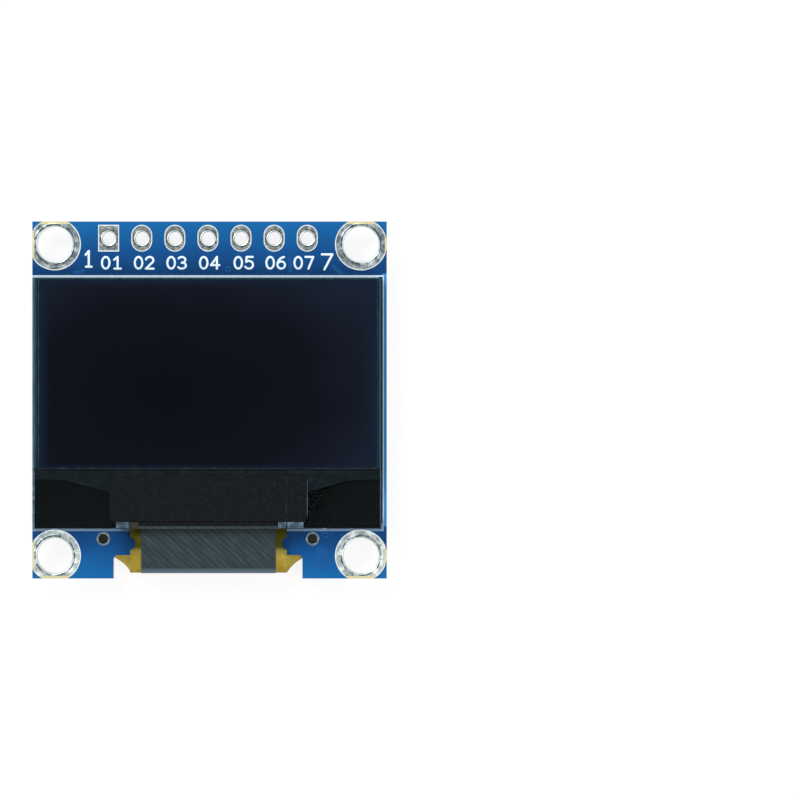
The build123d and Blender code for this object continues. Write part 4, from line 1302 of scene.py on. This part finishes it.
    def fields(self, shell: Shell, pairs: Sequence[tuple[Curve, Curve]]) -> None:
        """Lays thin lacquer fields on the back, each between two curves as seen from the back.

        Args:
            shell: piece that gets the fields.
            pairs: two curves for each field.
        """
        for pair in pairs:
            lines = []
            for curve in pair:
                length = float(np.hypot(*np.diff(np.asarray(curve, float), axis=0).T).sum())
                line = walk(curve, length / self.field_steps, self.field_soften)
                lines.append(np.column_stack([BACK_VIEW_SHIFT - line[:, 0], line[:, 1]]))
            shell.add(between(lines[0], lines[1], 0.0, -self.skin))

    def boxes(self, shell: Shell, boxes: Sequence[tuple[float, float, float, float]]) -> None:
        """Lays thin lacquer fields on the back, each a box as seen from the back.

        Args:
            shell: piece that gets the fields.
            boxes: left, top, right and bottom of each field.
        """
        self.fields(shell, [(((left, top), (left, bottom)), ((right, top), (right, bottom)))
                            for left, top, right, bottom in boxes])

    def back_copper(self) -> None:
        """Draws the copper areas, tracks, gaps and vias that show through the lacquer on the back."""
        navy = Shell("lacquer_gaps_back", "solder_mask")
        self.fields(navy, self.dark_fields)
        self.boxes(navy, self.gaps)
        navy.make(MASK_ON_LAMINATE.make())
        strips = Shell("copper_strips_back", "solder_mask")
        self.boxes(strips, self.strips)
        strips.make(MASK_ON_COPPER.make())
        copper = Shell("copper_tracks_back", "solder_mask")
        self.tracks(copper, Face.BACK, self.back_tracks, self.copper)
        copper.make(MASK_ON_COPPER.make())
        self.vias(Face.BACK, [(BACK_VIEW_SHIFT - x, y) for x, y in self.back_vias])
        dots = Shell("via_dots_back", "solder_mask")
        for x, y in self.back_dots:
            dots.add(lathe(self.dot_profile, (BACK_VIEW_SHIFT - x, y), turns=16))
        dots.make(VIA_SHADE.make())

    def front_copper(self) -> None:
        """Draws the few tracks and vias that show on the display side."""
        copper = Shell("copper_tracks_front", "solder_mask")
        self.tracks(copper, Face.FRONT, self.front_tracks, self.faint_copper)
        copper.make(MASK_FAINT.make())
        self.vias(Face.FRONT, self.front_vias)

    def vias(self, face: Face, places: Sequence[Pair]) -> None:
        """Sets a low lacquered ring with a dark hollow at each via.

        Args:
            face: face of the board.
            places: centres of the vias.
        """
        side = face.name.lower()
        rings, hollows = Shell(f"via_rings_{side}", "solder_mask"), Shell(f"via_hollows_{side}", "solder_mask")
        size = self.via if face is Face.BACK else self.via * self.front_via
        top = face.level + face.rise * self.copper
        hollow = [(size * self.hollow_foot, face.level)]
        hollow += [(size * share, top - face.rise * depth) for share, depth in self.hollow]
        for centre in places:
            self.swell(rings, centre, (size * self.via_bore, size), face.level, face.rise, self.copper + self.via_over)
            hollows.add(lathe(hollow, centre, turns=18))
        rings.make((MASK_ON_COPPER if face is Face.BACK else MASK_FAINT).make())
        hollows.make(VIA_SHADE.make())

    def numbers(self) -> None:
        """Prints the pin numbers on the front and the place numbers on the back."""
        ink = WHITE_INK.make()
        front, back = Shell("printed_numbers_front", "white_ink"), Shell("printed_numbers_back", "white_ink")
        fine, bold, broad = Numbers(front, self.fine_pen), Numbers(front, self.bold_pen), Numbers(back, self.back_pen)
        for index, x in enumerate(self.pin_numbers):
            fine.write(Label(f"0{index + 1}", (x, self.pin_number_y), size=0.9, width=1.15), *Face.FRONT.value)
        for label in self.end_numbers:
            bold.write(label, *Face.FRONT.value)
        front.make(ink)
        row = [Label(f"{21 + index}", (x, self.row_number_y), size=1.05, turn=90.0, width=1.1)
               for index, x in enumerate(self.row_numbers)]
        ladder = [Label(f"{31 + index}", (self.ladder_number_x, y), size=1.08, width=1.1)
                  for index, y in enumerate(self.ladder_numbers)]
        for label in (*row, *ladder, *self.lone_numbers):
            broad.write(label, *Face.BACK.value, from_back=True)
        back.make(ink)

    def build(self) -> None:
        """Builds all of the board's looks."""
        self.dress()
        self.tin()
        self.back_copper()
        self.front_copper()
        self.numbers()


@dataclass
class Panel:
    """The display panel: glass, polariser and the dark ledge with its tape.

    A line of an edge has a width and a height.
    """

    ledge: float = 2.72
    left: float = -13.41
    right: float = 13.29
    bottom: float = -9.89
    inset: float = 0.04
    skin: float = 0.008
    line_step: float = 0.25
    wear: float = 0.05
    ground_top: float = -5.34
    ground_line: Pair = (0.18, 0.02)
    ground_gap: Pair = (-7.1, 7.4)
    ground_ends: Pair = (0.2, 0.1)
    chipped_line: Pair = (0.05, 0.02)
    side_top: float = -5.3
    side_line: Pair = (0.07, 0.02)
    film: Pair = (-12.885, 12.965)
    film_bottom: float = -5.2
    film_top: float = 9.2
    film_gap: float = 0.03
    film_line: Pair = (0.05, 0.1)
    tape: float = 0.1
    tape_sides: Pair = (-7.53, 7.645)
    tape_run: Pair = (-6.1, -8.95)
    tape_head: Curve = ((-7.1, -5.7), (7.2, -5.7))
    # Painted highlight: width and height of the light line along the tape's right edge.
    tape_highlight_line: Pair = (0.05, 0.08)
    dark_line: Pair = (0.03, 0.05)
    seam: Curve = ((6.04, -5.85), (6.04, -9.2))
    seam_line: Pair = (0.03, 0.008)
    fan_strips: Sequence[tuple[float, float, bool]] = (
        (-13.26, -7.55, True), (-7.545, 7.67, False), (7.675, 13.2, True))
    fan_step: float = 0.2
    fan_gap: float = 0.06
    fan_low: float = -5.67
    fan_lap: float = 0.01
    fan_edge: tuple[Triple, Triple] = ((7.5, 10.9, 13.26), (-7.05, -6.15, -6.05))
    corner: float = 0.35
    corner_gap: float = 0.03
    corner_cut: float = 0.12
    corner_points: int = 12
    corner_sides: Pair = (-7.535, 7.66)
    rim_inset: float = 0.01
    rim_gap: float = 0.06
    rim_drop: float = 0.05
    rim_foot: float = 0.02
    rim_top: float = 9.36
    rim_points: int = 30
    guard: Pair = (-5.28, 5.4)
    guard_gap: float = 0.02
    skirt_top: float = -9.31
    skirt_seam: float = -9.66
    skirt_lift: float = 0.005
    skirt_points: int = 60
    amber_top: float = -9.34
    amber_left: float = -5.98
    bond_ends: Sequence[Triple] = ((-7.0, -6.0, 0.006), (6.12, 7.35, 0.006), (5.42, 6.04, 0.03))
    bond_rows: Sequence[float] = (-9.34, -9.34, -9.45, -9.6, -9.75, -9.83, -9.83)
    bond_height: float = 0.02
    bond_points: int = 24

    def dress(self) -> None:
        """Dresses the panel's solids."""
        dress(CLEAR_GLASS.make(), "front_glass", "cap_glass")
        dress(SEAL_RESIN.make(), "seal_frame")
        dress(DRY_SHEET.make(), "desiccant_sheet")
        dress(EMITTER_METAL.make(), "emitter_layer")
        dress(POLARISER.make(), "polariser")
        dress(SILICON.make(), "driver_chip")
        dress(BLACK_TAPE.make(), "chip_tape")
        dress(BLACK_FOAM.make(), "panel_tape")

    def lines(self, name: str, finish: Finish, runs: Sequence[tuple[Curve, Pair, float]]) -> None:
        """Lays fine straight ridges as one piece.

        Args:
            name: name of the piece.
            finish: its finish.
            runs: corners, width and height, and level of each ridge.
        """
        shell = Shell(name, "panel_glass")
        for corners, (width, height), level in runs:
            shell.add(ribbon(walk(corners, self.line_step), width / 2, height, level, 1.0))
        shell.make(finish.make())

    def edges(self) -> None:
        """Adds the chipped ground edge of the ledge, its palest flecks painted glints, and the pale cut edges of
        polariser and tape, the tape's right edge as a painted highlight.
        """
        ledge, low, high = self.ledge, self.film_bottom, self.film_top
        left, right, bottom = self.left + self.inset, self.right - self.inset, self.bottom + self.inset
        shifted = left + self.wear
        # Painted glints: the ground edge's palest flecks.
        self.lines("ground_edges", GROUND_EDGE, [
            (((shifted, self.ground_top), (shifted, bottom)), self.ground_line, ledge),
            (((left + self.ground_ends[0], bottom), (self.ground_gap[0], bottom)), self.chipped_line, ledge),
            (((self.ground_gap[1], bottom), (right - self.ground_ends[1], bottom)), self.chipped_line, ledge),
        ])
        self.lines("side_edge", FILM_EDGE, [(((right, self.side_top), (right, bottom)), self.side_line, ledge)])
        first, last, foot = self.film[0] - self.film_gap, self.film[1] + self.film_gap, low - self.film_gap
        tape_left, tape_right = ([(x, y) for y in self.tape_run] for x in self.tape_sides)
        self.lines("film_edges", FILM_EDGE, [
            (((first, foot), (last, foot)), self.film_line, ledge),
            (((first, low), (first, high)), self.film_line, ledge),
            (((last, low), (last, high)), self.film_line, ledge),
            # Painted highlight along the tape's right edge.
            (tape_right, self.tape_highlight_line, ledge),
        ])
        self.lines("tape_edges", TAPE_EDGE, [
            (self.tape_head, self.dark_line, ledge),
            (tape_left, self.dark_line, ledge),
            (self.seam, self.seam_line, ledge + self.tape),
        ])

    def fan_out(self) -> None:
        """Lays the greenish fan-out field of the ledge: three strips down to a bent edge, and the tape's two corners.

        A corner lies between the arc (c + s r sin t, d + r cos t) round the tape and the two straight strips.
        """
        shell = Shell("fan_out_fields", "panel_glass")
        low, high, top = self.ledge, self.ledge + self.skin, self.film_bottom - self.fan_gap
        for start, end, beside_tape in self.fan_strips:
            upper = walk([(start, top), (end, top)], self.fan_step)
            bent = np.interp(np.abs(upper[:, 0]), *self.fan_edge)
            straight = np.full(len(upper), self.fan_low + self.fan_lap)
            lower = np.column_stack([upper[:, 0], bent if beside_tape else straight])
            shell.add(between(upper, lower, low, high))
        angle = np.linspace(self.corner_cut, math.pi / 2 - self.corner_cut, self.corner_points)
        first, last = (np.array(corner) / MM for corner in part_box("chip_tape"))
        radius = self.corner + self.corner_gap
        for edge, side, strip in zip((first[0], last[0]), (-1.0, 1.0), self.corner_sides):
            curve = np.column_stack([edge - side * self.corner + side * radius * np.sin(angle),
                                     last[1] - self.corner + radius * np.cos(angle)])
            bend = [(curve[0, 0], self.fan_low), (strip, self.fan_low), (strip, curve[-1, 1])]
            length = abs(bend[1][0] - bend[0][0]) + abs(bend[2][1] - bend[1][1])
            shell.add(between(curve, walk(bend, length / (self.corner_points - 1.5)), low, high))
        shell.make(FAN_OUT.make())

    def rim(self) -> None:
        """Lays the teal rim beside the polariser: a thin slab along each side and one along the top."""
        shell = Shell("seal_rim", "seal_resin")
        left, right, low = self.left + self.rim_inset, self.right - self.rim_inset, self.film_bottom - self.rim_drop
        inner = (self.film[0] - self.rim_gap, self.film[1] + self.rim_gap)
        for start, end, floor in ((left, inner[0], low), (inner[1], right, low), (inner[0], inner[1], self.film_top)):
            rows = np.linspace(floor + self.rim_foot, self.rim_top, self.rim_points)
            first, second = (np.column_stack([np.full(len(rows), x), rows]) for x in (start, end))
            shell.add(between(first, second, self.ledge, self.ledge + self.skin))
        shell.make(RIM_GLASS.make())

    def skirt(self) -> None:
        """Lays what shows through the ledge below the tape: dark film, hatched strip and a corner of the amber tail."""
        low, amber = self.bottom + self.skirt_lift, (self.amber_left, self.guard[0] - self.guard_gap)
        for name, finish, (start, end), (left, right), slot in (
                ("ledge_film", BLACK_TAPE, (self.skirt_top, self.skirt_seam), self.guard, "black_tape"),
                ("ledge_hatch", SHIELD_FILM, (self.skirt_seam, low), self.guard, "dark_film"),
                ("ledge_amber", LEDGE_AMBER, (self.amber_top, low), amber, "polyimide")):
            shell = Shell(name, slot)
            columns = np.linspace(left, right, self.skirt_points)
            first, second = (np.column_stack([columns, np.full(len(columns), y)]) for y in (start, end))
            shell.add(between(first, second, self.ledge, self.ledge + self.skin))
            shell.make(finish.make())

    def bond(self) -> None:
        """Lays the milky ends of the bond film beside the tail: slabs whose top ripples in two waves.

        The top is z(x, y) = level + height + a (2 + sin(9 x + 5 y) + sin(17 x - 11 y)); outer rows lie on the ledge.
        """
        shell = Shell("bond_film_ends", "clear_adhesive")
        y = np.array(self.bond_rows)[None, :]
        outer = np.arange(len(self.bond_rows)) % (len(self.bond_rows) - 1) == 0
        for start, end, amount in self.bond_ends:
            x = np.linspace(start, end, self.bond_points)[:, None]
            ripple = amount * (np.sin(9.0 * x + 5.0 * y) + np.sin(17.0 * x - 11.0 * y))
            z = np.where(outer, self.ledge, self.ledge + self.bond_height + 2 * amount + ripple)
            shell.add(np.stack([x + 0 * y, y + 0 * x, z + 0 * x], axis=-1))
        shell.make(BOND_FILM.make())

    def build(self) -> None:
        """Builds all of the panel's looks."""
        self.dress()
        self.edges()
        self.fan_out()
        self.rim()
        self.skirt()
        self.bond()


@dataclass
class Tail:
    """The folded flex tail: amber film, gold traces, soldered fingers and the marks on its back.

    Profiles of lands and dots have a radius and a height over the traces.
    """

    middle: float = 0.06
    outer: float = -0.14
    trace: float = -0.155
    finger_pitch: float = 0.7
    fingers: int = 30
    finger_level: float = -0.18
    finger_run: Pair = (-5.6, -7.85)
    solder_half: float = 0.2
    solder_height: float = 0.045
    solder_points: tuple[int, int] = (22, 7)
    solder_waves: Triple = (7.0, 15.0, 27.0)
    solder_uneven: Pair = (0.1, 0.6)
    fan: Pair = (9.3, 3.4)
    fan_rows: Triple = (-9.0, -12.3, -12.64)
    # Painted shade between the traces: step and thickness of its slab.
    trace_shade_step: float = 0.35
    trace_shade_height: float = 0.006
    land_rows: Pair = (-8.6, -8.3)
    land: Curve = ((0.23, -0.004), (0.18, -0.014), (0.08, -0.016))
    dot: Curve = ((0.08, 0.0), (0.08, -0.018), (0.03, -0.022))
    pen: float = 0.14
    mark: float = 0.015
    end_numbers: Sequence[Label] = (Label("30", (9.35, -10.2), size=0.75), Label("1", (-9.66, -9.85), size=0.7))
    crosses: Curve = ((5.04, -12.35), (-4.81, -12.5))
    cross_reach: Pair = (0.24, 0.2)
    cross_half: float = 0.05
    cross_step: float = 0.1

    def dress(self) -> None:
        """Dresses the tail's solids."""
        dress(POLYIMIDE.make(), "flex_tail")
        dress(SHIELD_FILM.make(), "flex_guard_strip")
        dress(ADHESIVE.make(), "flex_adhesive")
        dress(GOLD_COPPER.make(), "flex_traces")

    def finger_x(self, index: int) -> float:
        """Place of a finger across the tail."""
        return self.middle + (index - (self.fingers - 1) / 2) * self.finger_pitch

    def solder(self) -> None:
        """Puts a lumpy solder back on each finger: (x - w(s) cos t, y(s), level - h(s) sin t).

        Width w and height h swell as (1 - (2 s - 1)^8)^0.5 and waver with three sines of random phase.
        """
        shell = Shell("finger_solder", "tin")
        rng = np.random.default_rng(7)
        along = np.linspace(0.0, 1.0, self.solder_points[0])
        across = np.linspace(0.0, math.pi, self.solder_points[1])
        y = self.finger_run[0] + (self.finger_run[1] - self.finger_run[0]) * along
        swell = np.sqrt(np.clip(1 - (2 * along - 1) ** 8, 0.02, 1))
        for index in range(self.fingers):
            phase, size = rng.uniform(0, 6.28, 3), rng.uniform(0.5, 1.0, 3)
            waves = (np.sin(along[:, None] * np.array(self.solder_waves) + phase) * size).sum(1) / 3
            half = self.solder_half * swell * (1 + self.solder_uneven[0] * waves)
            height = self.solder_height * swell * (1 + self.solder_uneven[1] * waves)
            shell.add(np.stack([self.finger_x(index) - half[:, None] * np.cos(across),
                                np.repeat(y[:, None], len(across), 1),
                                self.finger_level - height[:, None] * np.sin(across)], axis=-1))
        shell.make(DRAWN_TIN.make())

    def trace_shade(self) -> None:
        """Lays painted shade between the traces: a thin dark slab between the two outermost traces' centre lines."""
        shell = Shell("painted_shade_of_traces", "polyimide")
        reaches = (self.fan[0], self.fan[1], self.fan[1])
        sides = [walk([(side * reach + self.middle, y) for reach, y in zip(reaches, self.fan_rows)], self.trace_shade_step)
                 for side in (-1, 1)]
        shell.add(between(sides[0], sides[1], self.outer, self.outer - self.trace_shade_height))
        shell.make(PAINTED_TRACE_SHADE.make())

    def marks(self) -> None:
        """Adds the round via lands on the traces, the two end numbers and two small crosses."""
        lands, dots = Shell("flex_via_lands", "gold_copper"), Shell("flex_via_dots", "gold_copper")
        land, dot = ([(radius, self.trace + height) for radius, height in profile] for profile in (self.land, self.dot))
        for index in range(self.fingers):
            centre = (self.finger_x(index), self.land_rows[index % 2])
            lands.add(lathe([(self.land[0][0], self.outer), *land], centre, turns=18))
            dots.add(lathe(dot, centre, turns=12))
        for label in self.end_numbers:
            Numbers(lands, self.pen, self.mark).write(label, self.outer, -1.0)
        dx, reach = self.cross_reach
        for x, y in self.crosses:
            for dy in (reach, -reach):
                stroke = walk([(x - dx, y - dy), (x + dx, y + dy)], self.cross_step)
                lands.add(ribbon(stroke, self.cross_half, self.mark, self.outer, -1.0))
        lands.make(GOLD_COPPER.make())
        dots.make(POLYIMIDE.make())

    def build(self) -> None:
        """Builds all of the tail's looks."""
        self.dress()
        self.solder()
        self.trace_shade()
        self.marks()


@dataclass
class ChipParts:
    """The small parts on the back and the plain numbers on their tops."""

    capacitors: int = 7
    resistors: int = 5
    pen: float = 0.07
    ink: float = 0.006
    digit: float = 0.34

    def build(self) -> None:
        """Dresses the bodies and ends, and prints a number on each resistor."""
        capacitors = [f"capacitor_{i + 1}" for i in range(self.capacitors)]
        resistors = [f"resistor_{i + 1}" for i in range(self.resistors)]
        dress(CERAMIC.make(), *capacitors)
        dress(PEARL_TIN.make(), *[f"{name}_ends" for name in capacitors + resistors])
        dress(COAT.make(), *resistors)
        dress(EPOXY.make(), "transistor_body")
        shell = Shell("printed_numbers_parts", "white_ink")
        pen = Numbers(shell, self.pen, self.ink)
        for name in resistors:
            low, high = (np.array(corner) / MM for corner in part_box(name))
            centre, size = (low + high) / 2, high - low
            upright = size[1] > size[0]
            label = Label("100" if upright else "0", (BACK_VIEW_SHIFT - centre[0], centre[1]), self.digit,
                          turn=90.0 if upright else 0.0)
            pen.write(label, low[2], -1.0, from_back=True)
        shell.make(WHITE_INK.make())


@dataclass(frozen=True)
class Lamp:
    """A square soft lamp: its place and side in millimetres, its power in watts."""

    name: str
    place: Triple
    power: float
    size: float

    def hang(self) -> None:
        """Hangs the lamp so that it looks at the module."""
        light = bpy.data.lights.new(self.name, "AREA")
        light.energy, light.size = self.power, self.size * MM
        lamp = bpy.data.objects.new(self.name, light)
        bpy.context.scene.collection.objects.link(lamp)
        lamp.location = at = np.array(self.place) * MM
        away = at / np.linalg.norm(at)
        lamp.rotation_euler = (math.acos(away[2]), 0.0, math.atan2(away[1], away[0]) + math.pi / 2)


@dataclass
class Stage:
    """Pale floor, soft lamps, white surroundings and the camera straight above."""

    floor_level: float = -1.1
    floor_size: float = 900.0
    floor_glow: float = 0.84
    floor_grey: float = 0.18
    room_light: float = 0.5
    lamps: Sequence[Lamp] = (
        Lamp("key_lamp", (-220.0, 260.0, 330.0), 2.0, 260.0),
        Lamp("fill_lamp", (300.0, -160.0, 300.0), 1.1, 320.0),
        Lamp("under_lamp", (-260.0, 240.0, -330.0), 3.2, 260.0),
    )
    camera_at: Triple = (14.74, 0.0, 601.2)
    lens: float = 351.8

    def seen(self, tree: Tree) -> Socket:
        """One for rays that show the surroundings: camera, glossy and transmission rays.

        Args:
            tree: tree of the floor or the world.

        Returns:
            The socket with the mask.
        """
        path = node(tree, "ShaderNodeLightPath")
        first = node(tree, "ShaderNodeMath", {"operation": "MAXIMUM"}, {
            0: path.outputs["Is Camera Ray"], 1: path.outputs["Is Glossy Ray"]})
        return node(tree, "ShaderNodeMath", {"operation": "MAXIMUM"}, {
            0: first.outputs[0], 1: path.outputs["Is Transmission Ray"]}).outputs[0]

    def floor(self) -> None:
        """Lays the floor: mostly its own white, the rest lit for the shadow, clear from below."""
        half = self.floor_size / 2 * MM
        mesh = bpy.data.meshes.new("pale_floor")
        z = self.floor_level * MM
        mesh.from_pydata([(-half, -half, z), (half, -half, z), (half, half, z), (-half, half, z)], [], [(0, 1, 2, 3)])
        material = bpy.data.materials.new("pale_floor")
        material.use_nodes = True
        tree = material.node_tree
        tree.nodes.clear()
        level = node(tree, "ShaderNodeMath", {"operation": "MULTIPLY"}, {0: self.seen(tree), 1: self.floor_glow})
        glow = node(tree, "ShaderNodeEmission", sockets={"Color": linear("#ffffff"), "Strength": level.outputs[0]})
        matte = node(tree, "ShaderNodeBsdfDiffuse", sockets={"Color": (*[self.floor_grey] * 3, 1.0)})
        both = node(tree, "ShaderNodeAddShader", sockets={0: glow.outputs[0], 1: matte.outputs[0]})
        clear = node(tree, "ShaderNodeBsdfTransparent")
        below = node(tree, "ShaderNodeMath", {"operation": "MAXIMUM"}, {
            0: node(tree, "ShaderNodeNewGeometry").outputs["Backfacing"],
            1: node(tree, "ShaderNodeLightPath").outputs["Is Shadow Ray"]})
        mixed = node(tree, "ShaderNodeMixShader", sockets={
            0: below.outputs[0], 1: both.outputs[0], 2: clear.outputs[0]})
        node(tree, "ShaderNodeOutputMaterial", sockets={"Surface": mixed.outputs[0]})
        mesh.materials.append(material)
        floor = bpy.data.objects.new("pale_floor", mesh)
        bpy.context.scene.collection.objects.link(floor)

    def world(self) -> None:
        """Surrounds the scene with white, softer for the light that it gives."""
        world = bpy.data.worlds.new("soft_room")
        bpy.context.scene.world = world
        world.use_nodes = True
        tree = world.node_tree
        tree.nodes.clear()
        level = node(tree, "ShaderNodeMapRange", sockets={
            "Value": self.seen(tree), "To Min": self.room_light, "To Max": 1.0})
        back = node(tree, "ShaderNodeBackground", sockets={"Color": linear("#ffffff"), "Strength": level.outputs[0]})
        node(tree, "ShaderNodeOutputWorld", sockets={"Surface": back.outputs[0]})

    def camera(self) -> None:
        """Sets the camera straight above, so that the module stands at the left of the frame."""
        lens = bpy.data.cameras.new("view_from_above")
        lens.lens, lens.sensor_width, lens.clip_start, lens.clip_end = self.lens, 36.0, 0.01, 20.0
        camera = bpy.data.objects.new("view_from_above", lens)
        bpy.context.scene.collection.objects.link(camera)
        camera.location = [c * MM for c in self.camera_at]
        bpy.context.scene.camera = camera

    def build(self) -> None:
        """Builds floor, world, lamps and camera."""
        self.floor()
        self.world()
        for lamp in self.lamps:
            lamp.hang()
        self.camera()
        bpy.context.scene.view_settings.view_transform = "Standard"


def main() -> None:
    """Builds the stage and dresses the module."""
    logging.basicConfig(level=logging.INFO, format="%(name)s %(message)s")
    Stage().build()
    Board().build()
    Panel().build()
    Tail().build()
    ChipParts().build()
    bpy.context.view_layer.update()


if __name__ == "__main__":
    main()
